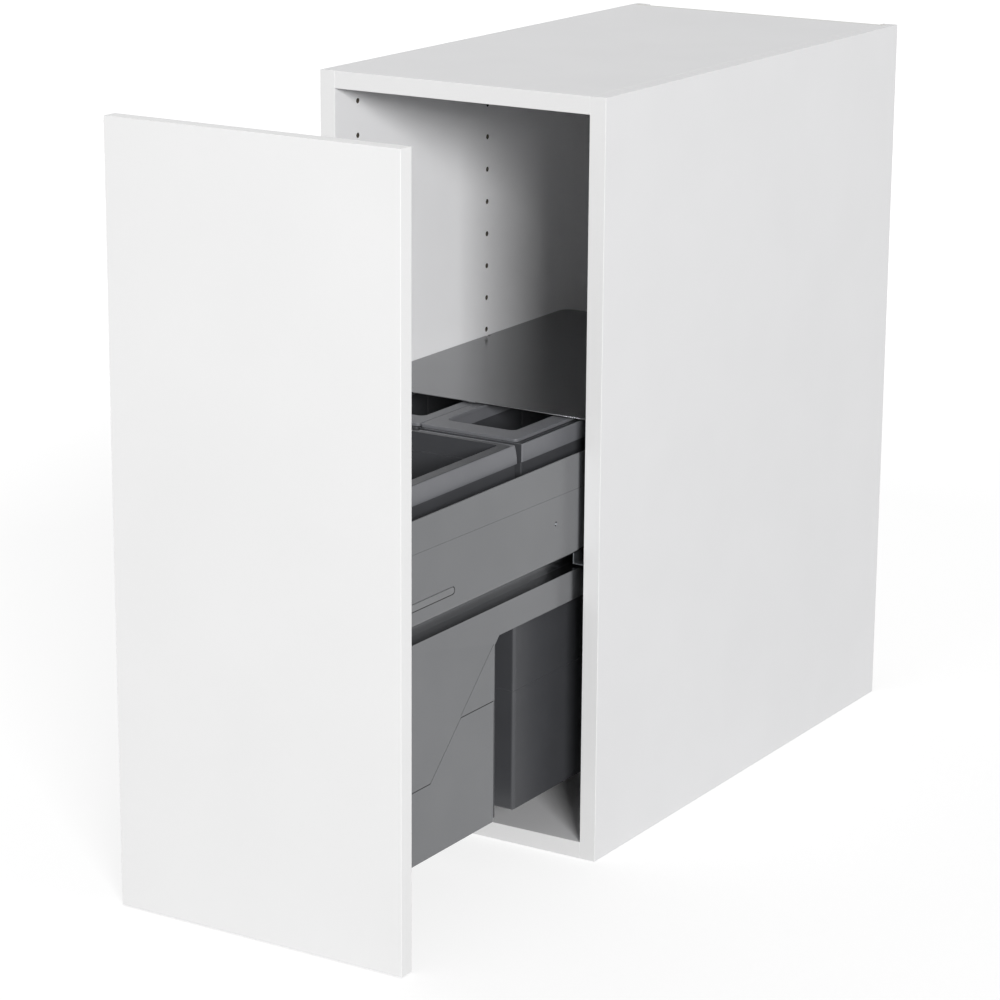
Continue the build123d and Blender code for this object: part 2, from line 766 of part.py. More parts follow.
with BuildPart() as bumpers:
    bumper_x = carcass_width / 2 - bumper_inset
    bumper_z = (front_z[0] + bumper_inset, front_z[1] - bumper_inset)
    places = both_sides([(bumper_x, z) for z in bumper_z])
    stud((pull_face_y, pull_face_y + bumper_thickness), bumper_diameter, places)
    chamfer(edges().group_by(Axis.Y)[-1], length=bumper_thickness / 2)
save(bumpers, "bumpers")

# Bin frames

front_half = channel_inner_x
rear_half = channel_inner_x + rear_frame_overhang
tongue_half = channel_inner_x - band_step
band_z = channel_top + band_height
front_frame_y = (pull_face_y + front_frame_gap, pull_face_y + front_frame_gap + front_frame_length)
rear_frame_y = (front_frame_y[1] + frame_gap, plate_end_y - rear_frame_margin)
neck_half = front_half - front_bin_margin
body_y = (front_frame_y[0] + front_bin_front, front_frame_y[1] - front_bin_rear)
front_seat_z = rim_z - front_rim_thickness
rear_plate_z = rim_z - rear_plate_drop
rear_body_x = (rear_bin_apart / 2, rear_half - rear_bin_margin)
rear_body_y = (rear_frame_y[0] + rear_bin_front, rear_frame_y[1] - rear_bin_rear)


def grow(limits, by):
    """Two limits, moved apart by a distance each."""
    return (limits[0] - by, limits[1] + by)


def frame_body(half, y, step, cavity_z):
    """The hollow box of a frame: rim face above, narrower band and tongue below."""
    slab((-half, half), y, (band_z, rim_z), frame_corner)
    band_y = grow(y, -step)
    slab((-tongue_half, tongue_half), band_y, (channel_top - frame_tongue, band_z))
    cavity_half = tongue_half - frame_wall
    cavity = (channel_top - frame_tongue, cavity_z)
    slab((-cavity_half, cavity_half), grow(band_y, -frame_wall), cavity, mode=Mode.SUBTRACT)
    for side in (-1, 1):
        flange = (side * (tongue_half - frame_wall / 2), side * (channel_inner_x + frame_flange))
        slab(flange, grow(band_y, -frame_flange), (channel_top, channel_top + flange_thickness))


def finger_recess(y):
    """Cuts the finger recess between two limits in Y, through the rim."""
    half = recess_half_width
    slab((-half, half), y, (rim_z - recess_depth, rim_z), recess_corner, mode=Mode.SUBTRACT)


recess_y = (front_frame_y[1] - recess_front_reach, rear_frame_y[0] + recess_rear_reach)
neck_x = (-neck_half, neck_half)
front_rim_x = grow(neck_x, front_rim_width)
front_rim_y = (body_y[0] - front_rim_width, body_y[1] + front_rim_rear_width)

with BuildPart() as front_bin_frame:
    frame_body(front_half, front_frame_y, band_step, front_seat_z - flange_thickness)
    with BuildSketch(Plane.XZ.offset(-front_frame_y[0])):
        for side in (-1, 1):
            face_foot = (side * front_half, band_z)
            face_head = (side * (front_half - front_frame_crown), rim_z)
            with BuildLine():
                TangentArc(face_foot, face_head, tangent=(0, 1))
                Polyline(face_head, (side * front_half, rim_z), face_foot)
            make_face()
    extrude(amount=-front_frame_length, mode=Mode.SUBTRACT)
    hole_z = (front_seat_z - 2 * flange_thickness, rim_z)
    hole_by = bin_wall + seat_play
    slab(grow(neck_x, hole_by), grow(body_y, hole_by), hole_z, mode=Mode.SUBTRACT)
    slab(grow(front_rim_x, seat_play), grow(front_rim_y, seat_play), (front_seat_z - seat_play, rim_z),
         bin_corner + bin_wall, mode=Mode.SUBTRACT)
    finger_recess(recess_y)
save(front_bin_frame, "front_bin_frame")

with BuildPart() as rear_bin_frame:
    frame_body(rear_half, rear_frame_y, rear_frame_overhang + band_step, rear_plate_z - flange_thickness)
    slab((rear_upstand - rear_half, rear_half - rear_upstand), grow(rear_frame_y, -rear_upstand),
         (rear_plate_z, rim_z), mode=Mode.SUBTRACT)
    for side in (-1, 1):
        hole = sorted((side * (rear_body_x[0] - seat_play), side * (rear_body_x[1] + seat_play)))
        hole_z = (rear_plate_z - 2 * flange_thickness, rear_plate_z)
        slab(hole, grow(rear_body_y, seat_play), hole_z, mode=Mode.SUBTRACT)
    cup_half = recess_half_width + recess_wall
    cup_y = (rear_frame_y[0] + rear_frame_overhang + band_step, recess_y[1] + recess_wall)
    slab((-cup_half, cup_half), cup_y, (rim_z - recess_depth - recess_wall, rear_plate_z))
    finger_recess(recess_y)
save(rear_bin_frame, "rear_bin_frame")

# Bins


def inner_cut(cut, wall):
    """Cut corner inside a wall that keeps its thickness round an outer cut corner."""
    return cut - wall * (2 - 2**0.5)


def tub(x, y, top_z):
    """An open box with cut corners and foot, standing on bin_bottom."""
    slab(x, y, (bin_bottom, top_z), cut=bin_corner)
    chamfer(faces().sort_by(Axis.Z)[0].edges(), length=bin_foot_chamfer)
    offset(amount=-bin_wall, openings=faces().sort_by(Axis.Z)[-1])


with BuildPart() as front_bin:
    ledge_z = rim_z - front_ledge_drop
    tub(neck_x, body_y, ledge_z)
    slab(grow(neck_x, bin_wall), grow(body_y, bin_wall), (ledge_z - bin_wall, rim_z), cut=bin_corner)
    slab(front_rim_x, front_rim_y, (front_seat_z, rim_z), bin_corner + bin_wall)
    slab(neck_x, body_y, (ledge_z, rim_z), cut=bin_corner, mode=Mode.SUBTRACT)
    slab(grow(neck_x, -bin_wall), grow(body_y, -bin_wall), (ledge_z - bin_wall, ledge_z),
         cut=inner_cut(bin_corner, bin_wall), mode=Mode.SUBTRACT)
    finger_recess(recess_y)
save(front_bin, "front_bin")

rear_rim_z = (rear_plate_z + seat_play, rear_plate_z + seat_play + rear_rim_thickness)
rear_rim_x = grow(rear_body_x, rear_rim_width)
rear_rim_y = grow(rear_body_y, rear_rim_width)

with BuildPart() as rear_bin:
    tub(rear_body_x, rear_body_y, rear_rim_z[1])
    slab(rear_rim_x, rear_rim_y, rear_rim_z, bin_corner + rear_rim_width / 2)
    slab(grow(rear_body_x, -bin_wall), grow(rear_body_y, -bin_wall), rear_rim_z,
         cut=inner_cut(bin_corner, bin_wall), mode=Mode.SUBTRACT)
save_pair(rear_bin, "rear_bin")

with BuildPart() as bag_ring:
    ring_x = (rear_rim_x[0], rear_rim_x[1] - ring_step)
    ring_y = grow(rear_rim_y, -ring_step)
    ring_z = (rear_rim_z[1] + ring_play, rim_z)
    slab(ring_x, ring_y, ring_z, ring_corner)
    collar_x = grow(rear_body_x, -bin_wall - ring_play)
    collar_y = grow(rear_body_y, -bin_wall - ring_play)
    collar_z = (ring_z[0] - ring_collar, ring_z[0])
    slab(collar_x, collar_y, collar_z, cut=bin_corner)
    slab(grow(collar_x, -ring_collar_wall), grow(collar_y, -ring_collar_wall), collar_z,
         cut=inner_cut(bin_corner, ring_collar_wall), mode=Mode.SUBTRACT)
    mouth_x = (ring_x[0] + ring_middle_margin, ring_x[1] - ring_side_margin)
    mouth_y = (ring_y[0] + ring_front_margin, ring_y[1] - ring_rear_margin)
    slab(mouth_x, mouth_y, ring_z, cut=ring_corner, mode=Mode.SUBTRACT)
save_pair(bag_ring, "bag_ring")
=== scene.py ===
import json
import math
import bmesh
import bpy
from mathutils import Matrix, Vector


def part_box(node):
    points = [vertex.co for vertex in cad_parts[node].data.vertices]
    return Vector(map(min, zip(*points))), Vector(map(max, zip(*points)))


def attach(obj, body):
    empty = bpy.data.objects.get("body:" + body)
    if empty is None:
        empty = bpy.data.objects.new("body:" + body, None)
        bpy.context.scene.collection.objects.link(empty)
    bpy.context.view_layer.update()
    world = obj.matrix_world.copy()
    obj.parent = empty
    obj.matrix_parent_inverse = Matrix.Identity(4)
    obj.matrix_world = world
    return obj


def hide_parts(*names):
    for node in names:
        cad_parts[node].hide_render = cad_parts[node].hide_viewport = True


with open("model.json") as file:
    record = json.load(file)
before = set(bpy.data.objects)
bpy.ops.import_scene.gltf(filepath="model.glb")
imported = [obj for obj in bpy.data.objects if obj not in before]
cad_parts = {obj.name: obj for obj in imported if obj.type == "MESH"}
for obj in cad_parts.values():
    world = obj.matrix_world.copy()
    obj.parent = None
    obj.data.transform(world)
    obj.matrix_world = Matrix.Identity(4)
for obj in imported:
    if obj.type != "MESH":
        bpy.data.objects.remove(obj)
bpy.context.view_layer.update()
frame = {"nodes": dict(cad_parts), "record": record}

# White 300 mm base cabinet with a pull-out for three waste bins, standing open.
# The scene is in metres in the model's own frame. Sizes in the dictionaries are millimetres
# and angles are degrees, where no comment says otherwise.

mm = 0.001
past = 1 * mm  # how far a cutter reaches past the face that it cuts
record = frame["record"]
bodyOf = {node: body for body, nodes in record["behaviour"]["bodies"].items() for node in nodes}
slotOf = {part["node"]: part["material_slot"] for part in record["subparts"]}


def toLinear(code):
    # an sRGB hex colour in linear values
    channels = [int(code[i:i + 2], 16) / 255 for i in (1, 3, 5)]
    return (*[c / 12.92 if c <= 0.04045 else ((c + 0.055) / 1.055) ** 2.4 for c in channels], 1)


def addNode(owner, kind, settings=None, links=None):
    # settings are input values or properties, links are {input: output socket}
    node = owner.node_tree.nodes.new(kind)
    for key, value in (settings or {}).items():
        if isinstance(key, int) or key in node.inputs:
            node.inputs[key].default_value = value
        else:
            setattr(node, key, value)
    for key, socket in (links or {}).items():
        owner.node_tree.links.new(socket, node.inputs[key])
    return node


def startMaterial(name, colour, roughness, **shader):
    # one Principled shader, and the object coordinates in metres
    material = bpy.data.materials.new(name)
    material.use_nodes = True
    material.node_tree.nodes.clear()
    settings = {"Base Color": toLinear(colour), "Roughness": roughness}
    settings.update({key.replace("_", " "): value for key, value in shader.items()})
    surface = addNode(material, "ShaderNodeBsdfPrincipled", settings)
    addNode(material, "ShaderNodeOutputMaterial", {}, {"Surface": surface.outputs[0]})
    place = addNode(material, "ShaderNodeTexCoord").outputs["Object"]
    material.diffuse_color = toLinear(colour)
    return material, surface, place


def addNoise(material, place, grain, detail=2, stretch=None):
    # noise with grains of a real width in mm, drawn out along the axes where stretch is under 1
    if stretch:
        place = addNode(material, "ShaderNodeMapping", {"Scale": stretch}, {"Vector": place}).outputs[0]
    settings = {"Scale": 1 / (grain * mm), "Detail": detail}
    return addNode(material, "ShaderNodeTexNoise", settings, {"Vector": place}).outputs[0]


def addBump(material, surface, height, depth):
    # relief of a real depth in mm
    bump = addNode(material, "ShaderNodeBump", {"Distance": depth * mm}, {"Height": height})
    material.node_tree.links.new(bump.outputs[0], surface.inputs["Normal"])


def addShades(material, surface, factor, shades, spread=(0.3, 0.7)):
    # base colour between two near shades, darker one first
    ramp = addNode(material, "ShaderNodeValToRGB", {}, {"Fac": factor})
    for element, position, colour in zip(ramp.color_ramp.elements, spread, shades):
        element.position, element.color = position, toLinear(colour)
    material.node_tree.links.new(ramp.outputs[0], surface.inputs["Base Color"])


def addGloss(material, surface, factor, low, high):
    # roughness that wanders between two values
    spread = addNode(material, "ShaderNodeMapRange", {"To Min": low, "To Max": high}, {"Value": factor})
    material.node_tree.links.new(spread.outputs[0], surface.inputs["Roughness"])


def pressedMelamine():
    # melamine paper pressed on chipboard: bright matt white with a fine pearl grain
    material, surface, place = startMaterial("melamineBoard", "#EEEEEF", 0.55, IOR=1.5)
    pearl = addNoise(material, place, grain=1.6, detail=3)  # really near 0.4 mm, drawn coarser to show
    addBump(material, surface, pearl, depth=0.02)
    addShades(material, surface, addNoise(material, place, grain=90), ("#EDEDEE", "#EFEFF0"))
    addGloss(material, surface, pearl, low=0.5, high=0.62)
    return material


def absEdging():
    # extruded ABS strip: as white as the board, a little smoother and cooler
    material, surface, place = startMaterial("absEdging", "#EDEDED", 0.34, IOR=1.53)
    # draw lines of the die, along the strip
    lines = addNoise(material, place, grain=1.2, detail=1, stretch=(1, 1, 0.02))
    addBump(material, surface, lines, depth=0.008)
    addGloss(material, surface, lines, low=0.3, high=0.4)
    return material


def lacqueredFront():
    # sprayed satin lacquer on MDF: smooth, with a faint orange peel
    material, surface, place = startMaterial("satinLacquer", "#F3F3F3", 0.32, IOR=1.5)
    peel = addNoise(material, place, grain=3.5)
    addBump(material, surface, peel, depth=0.012)
    addShades(material, surface, addNoise(material, place, grain=140), ("#F2F2F2", "#F4F4F4"))
    addGloss(material, surface, peel, low=0.3, high=0.37)
    return material


def printedHardboard():
    # white printed fibreboard: flat and dry, with a faint fibre texture
    material, surface, place = startMaterial("printedHardboard", "#E9E9E7", 0.55, IOR=1.48)
    fibre = addNoise(material, place, grain=2.2, detail=4, stretch=(1, 1, 0.35))
    addBump(material, surface, fibre, depth=0.03)
    addGloss(material, surface, fibre, low=0.5, high=0.65)
    return material


def rawChipboard(name, shades, chip=1.8):
    # bare chipboard: chips of many shades between darker gaps; tan where sawn, and where drilled so dark that
    # it paints the shade inside the holes
    material, surface, place = startMaterial(name, shades[1], 0.85, IOR=1.45)
    chips = addNode(material, "ShaderNodeTexVoronoi", {"Scale": 1 / (chip * mm)}, {"Vector": place})
    addShades(material, surface, chips.outputs["Color"], shades, spread=(0.1, 0.9))
    addBump(material, surface, chips.outputs["Distance"], depth=0.25)
    return material


def turnedBeech():
    # turned beech: pale pinkish brown with short grain flecks along the dowel
    material, surface, place = startMaterial("turnedBeech", "#C9A06D", 0.6, IOR=1.45)
    flecks = addNoise(material, place, grain=1, detail=4, stretch=(0.08, 1, 1))
    addShades(material, surface, flecks, ("#B88B57", "#D8B483"))
    addBump(material, surface, flecks, depth=0.05)
    return material


def zincPlate():
    # bright zinc plate: blue-white metal with soft blotches of gloss
    material, surface, place = startMaterial("zincPlate", "#C3C6C9", 0.3, Metallic=1.0)
    blotch = addNoise(material, place, grain=2.5, detail=3)
    addGloss(material, surface, blotch, low=0.24, high=0.42)
    addBump(material, surface, addNoise(material, place, grain=0.8), depth=0.006)
    return material


def galvanisedStrip(spangle=4):
    # cold-rolled galvanised strip: dull grey metal with small spangles and rolling lines
    material, surface, place = startMaterial("galvanisedStrip", "#7D8083", 0.5, Metallic=1.0)
    spangles = addNode(material, "ShaderNodeTexVoronoi", {"Scale": 1 / (spangle * mm)}, {"Vector": place})
    addShades(material, surface, spangles.outputs["Color"], ("#74777A", "#868A8D"), spread=(0.2, 0.8))
    lines = addNoise(material, place, grain=1.5, stretch=(1, 0.03, 1))
    addGloss(material, surface, lines, low=0.42, high=0.58)
    return material


def metallicLacquer(name, shades, low, high):
    # satin metallic lacquer on steel: grey flakes that mirror the bright room softly
    material, surface, place = startMaterial(name, shades[1], low, Metallic=1.0)
    flakes = addNoise(material, place, grain=1.5)  # real flakes are far finer, drawn coarser to show
    addBump(material, surface, flakes, depth=0.002)
    addShades(material, surface, addNoise(material, place, grain=60), shades)
    addGloss(material, surface, flakes, low, high)
    return material


def mouldedPlastic(name, shades, low, high, grain, depth):
    # injection-moulded plastic: an even colour with a fine spark-eroded grain that breaks the gloss
    material, surface, place = startMaterial(name, shades[1], low, IOR=1.49)
    sparks = addNoise(material, place, grain, detail=3)
    addBump(material, surface, sparks, depth)
    addShades(material, surface, addNoise(material, place, grain=45), shades)
    addGloss(material, surface, sparks, low, high)
    return material


def naturalNylon():
    # unfilled nylon: milky off-white, slightly waxy
    material, surface, place = startMaterial("naturalNylon", "#E4E1D6", 0.38, IOR=1.53)
    wax = addNoise(material, place, grain=1.2)
    addShades(material, surface, wax, ("#DEDACD", "#E8E5DB"))
    addGloss(material, surface, wax, low=0.32, high=0.45)
    return material


def clearSilicone():
    # cast silicone dot: frosted and see-through
    material, surface, place = startMaterial("clearSilicone", "#F0F0EE", 0.35, IOR=1.41,
                                             Transmission_Weight=0.7)
    addGloss(material, surface, addNoise(material, place, grain=1), low=0.3, high=0.42)
    return material


finishes = {  # lacquers: shades and gloss; plastics: shades, gloss, width and depth of the grain
    "white_board": pressedMelamine(),
    "white_edging": absEdging(),
    "white_front": lacqueredFront(),
    "white_back": printedHardboard(),
    "beech_dowel": turnedBeech(),
    "zinc_fitting": zincPlate(),
    "rail_steel": galvanisedStrip(),
    "grey_steel": metallicLacquer("greyMetallicLacquer", ("#797A7C", "#7C7D7F"), 0.2, 0.28),
    "plate_steel": metallicLacquer("silverMetallicLacquer", ("#7E7F81", "#828385"), 0.2, 0.27),
    "grey_cap": mouldedPlastic("greyAbsCap", ("#77787A", "#7B7C7E"), 0.4, 0.52, 1, 0.01),
    "dark_plastic": mouldedPlastic("anthracitePolypropylene", ("#404144", "#444548"), 0.36, 0.46, 1.3, 0.02),
    "frame_plastic": mouldedPlastic("greyPolypropylene", ("#6B6C70", "#717276"), 0.36, 0.48, 1.1, 0.02),
    "nylon": naturalNylon(),
    "clear_rubber": clearSilicone(),
}
cores = {
    "sawn": rawChipboard("sawnChipboard", ("#786650", "#C6B498")),
    # the bore core is painted shade: far darker than the sawn edge, for the shade deep inside holes and cups
    "drilled": rawChipboard("boreShadeChipboard", ("#3B3731", "#5E574C")),
}
print("materials made:", len(finishes) + len(cores))

meshSizes = {"weld": 0.002, "copyWeld": 0.001, "flatAngle": 0.5, "smoothAngle": 38, "cornerSteps": 6,
             "turnSteps": 24}
# the edges that are softened where a piece's own sizes say nothing else
edgeRule = {"edgeSteps": 2, "leastTurn": 30, "leastLength": 0}


def nodeBox(node):
    # the low and high corners of a CAD node
    return [Vector(corner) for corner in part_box(node)]


def pieceName(node):
    words = node.split("_")
    return words[0] + "".join(word.capitalize() for word in words[1:]) + "Look"


def newPiece(shape, name, materials):
    # an object from a bmesh, which is used up
    mesh = bpy.data.meshes.new(name)
    shape.to_mesh(mesh)
    shape.free()
    for material in materials:
        mesh.materials.append(material)
    piece = bpy.data.objects.new(name, mesh)
    bpy.context.scene.collection.objects.link(piece)
    return piece


def smoothPiece(piece):
    # smooth shading with flat faces kept flat
    mesh = piece.data
    mesh.polygons.foreach_set("use_smooth", [True] * len(mesh.polygons))
    mesh.set_sharp_from_angle(angle=math.radians(meshSizes["smoothAngle"]))
    normals = piece.modifiers.new("flatFaces", "WEIGHTED_NORMAL")
    normals.keep_sharp = True


def dress(shape, node, extra=()):
    # turns a finished bmesh into the piece that stands for a CAD node
    piece = newPiece(shape, pieceName(node), [finishes[slotOf[node]], *extra])
    smoothPiece(piece)
    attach(piece, bodyOf[node])
    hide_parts(node)


def copyNode(node):
    # a CAD node's triangles, merged into plain faces
    shape = bmesh.new()
    shape.from_mesh(frame["nodes"][node].data)
    bmesh.ops.remove_doubles(shape, verts=shape.verts, dist=meshSizes["copyWeld"] * mm)
    bmesh.ops.dissolve_limit(shape, angle_limit=math.radians(meshSizes["flatAngle"]), verts=shape.verts,
                             edges=shape.edges)
    return shape


def roundEdges(shape, size, edges=None):
    # bevels the edges that turn enough and are long enough for the piece's sizes
    rule = {**edgeRule, **size}
    chosen = [edge for edge in (edges or shape.edges)
              if edge.is_manifold and abs(edge.calc_face_angle(0)) > math.radians(rule["leastTurn"])
              and edge.calc_length() > rule["leastLength"] * mm]
    bmesh.ops.bevel(shape, geom=chosen, offset=rule["edgeRadius"] * mm, offset_type="OFFSET",
                    affect="EDGES", segments=rule["edgeSteps"], profile=0.5, material=-1,
                    clamp_overlap=True)


def addBlock(shape, low, high):
    # an upright block between two corners
    made = bmesh.ops.create_cube(shape, size=1)["verts"]
    low, high = Vector(low), Vector(high)
    bmesh.ops.scale(shape, vec=high - low, verts=made)
    bmesh.ops.translate(shape, vec=(low + high) / 2, verts=made)


def addRod(shape, start, end, diameter, steps):
    # a round rod between two points
    start, end = Vector(start), Vector(end)
    turn = Vector((0, 0, 1)).rotation_difference(end - start).to_matrix().to_4x4()
    radius = diameter * mm / 2
    bmesh.ops.create_cone(shape, cap_ends=True, segments=steps, radius1=radius, radius2=radius,
                          depth=(end - start).length, matrix=Matrix.Translation((start + end) / 2) @ turn)


def addTurned(shape, profile, start, axis, steps=meshSizes["turnSteps"]):
    # spins (distance, radius) points in mm about an axis through start
    axis = Vector(axis).normalized()
    side = axis.orthogonal().normalized()
    line = [shape.verts.new(start + (axis * along + side * radius) * mm) for along, radius in profile]
    edges = [shape.edges.new(pair) for pair in zip(line, line[1:])]
    bmesh.ops.spin(shape, geom=line + edges, cent=start, axis=axis, angle=math.tau, steps=steps,
                   use_merge=True)


def closeShape(shape):
    # merges seams and poles, and turns the faces outwards
    bmesh.ops.remove_doubles(shape, verts=shape.verts, dist=meshSizes["weld"] * mm)
    bmesh.ops.recalc_face_normals(shape, faces=shape.faces)


def addRing(shape, x, y, height, radius, filled=False):
    # the edges of a rounded rectangle, or its face too, all in metres
    before = set(shape.edges)
    made = bmesh.ops.create_grid(shape, x_segments=1, y_segments=1, size=0.5)["verts"]
    bmesh.ops.scale(shape, vec=(x[1] - x[0], y[1] - y[0], 1), verts=made)
    bmesh.ops.translate(shape, vec=((x[0] + x[1]) / 2, (y[0] + y[1]) / 2, height), verts=made)
    bmesh.ops.bevel(shape, geom=made, offset=radius, affect="VERTICES", segments=meshSizes["cornerSteps"],
                    profile=0.5, material=-1)
    ring = [edge for edge in shape.edges if edge not in before]
    if not filled:
        bmesh.ops.delete(shape, geom=list({face for edge in ring for face in edge.link_faces}),
                         context="FACES_ONLY")
    return ring


def addShell(shape, levels, closed=False):
    # bridges rounded rectangles given as (x, y, height, radius), then caps or joins the ends
    for lower, upper in zip(levels, levels[1:] + (levels[:1] if closed else [])):
        bmesh.ops.bridge_loops(shape, edges=addRing(shape, *lower) + addRing(shape, *upper))
    if not closed:
        addRing(shape, *levels[0], filled=True)
        addRing(shape, *levels[-1], filled=True)
    closeShape(shape)


def grow(limits, by):
    # a (low, high) pair in metres, moved apart by so many mm at each end
    return (limits[0] - by * mm, limits[1] + by * mm)


def cutShape(shape, tool, materials, core=None, operation="DIFFERENCE"):
    # cuts a closed shape with another or joins them; the cut faces take the core's material
    work = newPiece(shape, "work", materials)
    cutter = newPiece(tool, "cutter", [core or materials[0]])
    change = work.modifiers.new("cut", "BOOLEAN")
    change.operation, change.solver, change.object = operation, "EXACT", cutter
    change.material_mode, change.use_self = "TRANSFER", True
    mesh = bpy.data.meshes.new_from_object(work.evaluated_get(bpy.context.evaluated_depsgraph_get()))
    result = bmesh.new()
    result.from_mesh(mesh)
    for piece in (cutter, work):
        bpy.data.objects.remove(piece)
    bpy.data.meshes.remove(mesh)
    return result


def solidsOf(node):
    # the box of each separate solid of a CAD node, in order of place
    shape = copyNode(node)
    boxes, left = [], set(shape.verts)
    while left:
        reach = [left.pop()]
        for vert in reach:
            for edge in vert.link_edges:
                for other in edge.verts:
                    if other in left:
                        left.discard(other)
                        reach.append(other)
        places = [vert.co for vert in reach]
        boxes.append((Vector(map(min, *places)), Vector(map(max, *places))))
    shape.free()
    return sorted(boxes, key=lambda box: tuple(round(value, 5) for value in box[0]))


def softenNode(node, size):
    # a CAD node's own shape with softened edges
    shape = copyNode(node)
    roundEdges(shape, size)
    dress(shape, node)


# facing is the least part of a normal's length that points to the rear, for a face to count as rear
panelSizes = {"edgeRadius": 0.4, "holeDiameter": 5, "holeDepth": 13, "holePitch": 32, "holeSteps": 28,
              "groovePlay": 0.2, "facing": 0.9}


def holePlaces():
    # corner holes of the two rows come from the record, the rest from the pitch
    mount = next(item for item in record["mounts"] if item["name"] == "shelf_holes_right")
    wide, high = mount["dims"]["spacing_x_mm"] * mm, mount["dims"]["spacing_y_mm"] * mm
    middle = Vector(mount["pos_m"])
    pitch = panelSizes["holePitch"] * mm
    top = middle.z + high / 2
    count = round((top - nodeBox("plate_holders")[0].z) / pitch)
    upright = [(y, top - pitch * step) for y in (middle.y - wide / 2, middle.y + wide / 2)
               for step in range(count + 1)]
    screws = [((low + high) / 2).yz for low, high in solidsOf("rail_screws") if low.x > 0]
    return upright, [tuple(place) for place in screws]


systemHoles, railHoles = holePlaces()


def sidePanel(node):
    # a side with its drilled holes and the groove for the back
    low, high = nodeBox(node)
    side = 1 if low.x > 0 else -1
    inner = low.x if side > 0 else high.x
    shape = bmesh.new()
    addBlock(shape, low, high)
    roundEdges(shape, panelSizes)
    drills = bmesh.new()
    depth = panelSizes["holeDepth"] * mm * side
    for y, z in systemHoles + railHoles:
        addRod(drills, (inner - side * past, y, z), (inner + depth, y, z), panelSizes["holeDiameter"],
               panelSizes["holeSteps"])
    skins = [finishes["white_board"], cores["sawn"], cores["drilled"]]
    # the hole walls take the dark core, which paints the shade inside them
    shape = cutShape(shape, drills, skins, cores["drilled"])
    groove = bmesh.new()
    back = nodeBox("back_panel")
    play = panelSizes["groovePlay"] * mm
    depth = (back[1].x - nodeBox("side_panel_right")[0].x + play) * side
    ends = sorted((inner - side * past, inner + depth))
    addBlock(groove, (ends[0], back[0].y, low.z - past), (ends[1], back[1].y + play, high.z + past))
    shape = cutShape(shape, groove, skins, cores["sawn"])
    for face in shape.faces:
        if face.normal.y > panelSizes["facing"] and face.calc_center_median().y > high.y - mm:
            face.material_index = skins.index(cores["sawn"])  # the rear edge stays raw
    dress(shape, node, skins[1:])


boardSizes = {"edgeRadius": 0.2, "cupDiameter": 15.1, "cupSteps": 36}


def crossBoard(node):
    # a board with round cups for the cam fittings in its lower face
    low, high = nodeBox(node)
    shape = bmesh.new()
    addBlock(shape, low, high)
    roundEdges(shape, boardSizes)
    cups = bmesh.new()
    for start, end in solidsOf("cam_locks"):
        if start.z >= low.z - mm and end.z <= high.z:
            middle = (start + end) / 2
            addRod(cups, (middle.x, middle.y, low.z - past), (middle.x, middle.y, end.z),
                   boardSizes["cupDiameter"], boardSizes["cupSteps"])
    skins = [finishes["white_board"], cores["drilled"]]
    # the cup walls take the dark core, which paints the shade inside them
    dress(cutShape(shape, cups, skins, cores["drilled"]), node, skins[1:])


sidePanel("side_panel_left")
sidePanel("side_panel_right")
crossBoard("bottom_panel")
crossBoard("top_panel")

backSizes = {"edgeRadius": 0.3}
softenNode("back_panel", backSizes)

bandSizes = {"edgeRadius": 0.3, "edgeSteps": 3, "play": 0.1}


def edgeBands():
    # only the outer edges of the strips are rounded
    shape = copyNode("edge_bands")
    front = min(vert.co.y for vert in shape.verts) + bandSizes["play"] * mm
    outer = [edge for edge in shape.edges if all(vert.co.y < front for vert in edge.verts)]
    roundEdges(shape, bandSizes, outer)
    dress(shape, "edge_bands")


edgeBands()
print("carcass boards made:", len(systemHoles), "system holes a side")

dowelSizes = {"chamfer": 1, "flutes": 12, "fluteDepth": 0.35, "play": 0.1}


def dowels():
    # fluted dowels: every second line of the turned skin is pressed in
    size = dowelSizes
    shape = bmesh.new()
    for low, high in solidsOf("dowels"):
        middle, radius = (low + high) / 2, (high.z - low.z) / 2 / mm
        long, cut = (high.x - low.x) / mm, size["chamfer"]
        profile = [(0, 0), (0, radius - cut), (cut, radius), (long - cut, radius), (long, radius - cut),
                   (long, 0)]
        start = Vector((low.x, middle.y, middle.z))
        addTurned(shape, profile, start, (1, 0, 0), size["flutes"] * 2)
        for vert in shape.verts:
            arm = vert.co - Vector((vert.co.x, middle.y, middle.z))
            if low.x <= vert.co.x <= high.x and abs(arm.length / mm - radius) < size["play"]:
                turn = math.atan2(arm.z, arm.y) / math.tau * size["flutes"] * 2
                if round(turn) % 2:
                    vert.co -= arm.normalized() * size["fluteDepth"] * mm
    closeShape(shape)
    dress(shape, "dowels")


boltSizes = {
    "headLength": 3, "neck": 2.4, "neckLength": 3, "neckBend": 0.4, "neckFlare": 1, "collar": 1.2,
    "threadPitch": 1.4, "threadDepth": 0.5, "tip": 0.3,
    "head": ((0, 0.6), (0.4, 0.9), (1, 0.7)),  # shares of the head's length and the bolt's radius
    "shank": 0.8, "thread": 0.7, "crest": 0.7,  # shares of the radius, and of the pitch
}


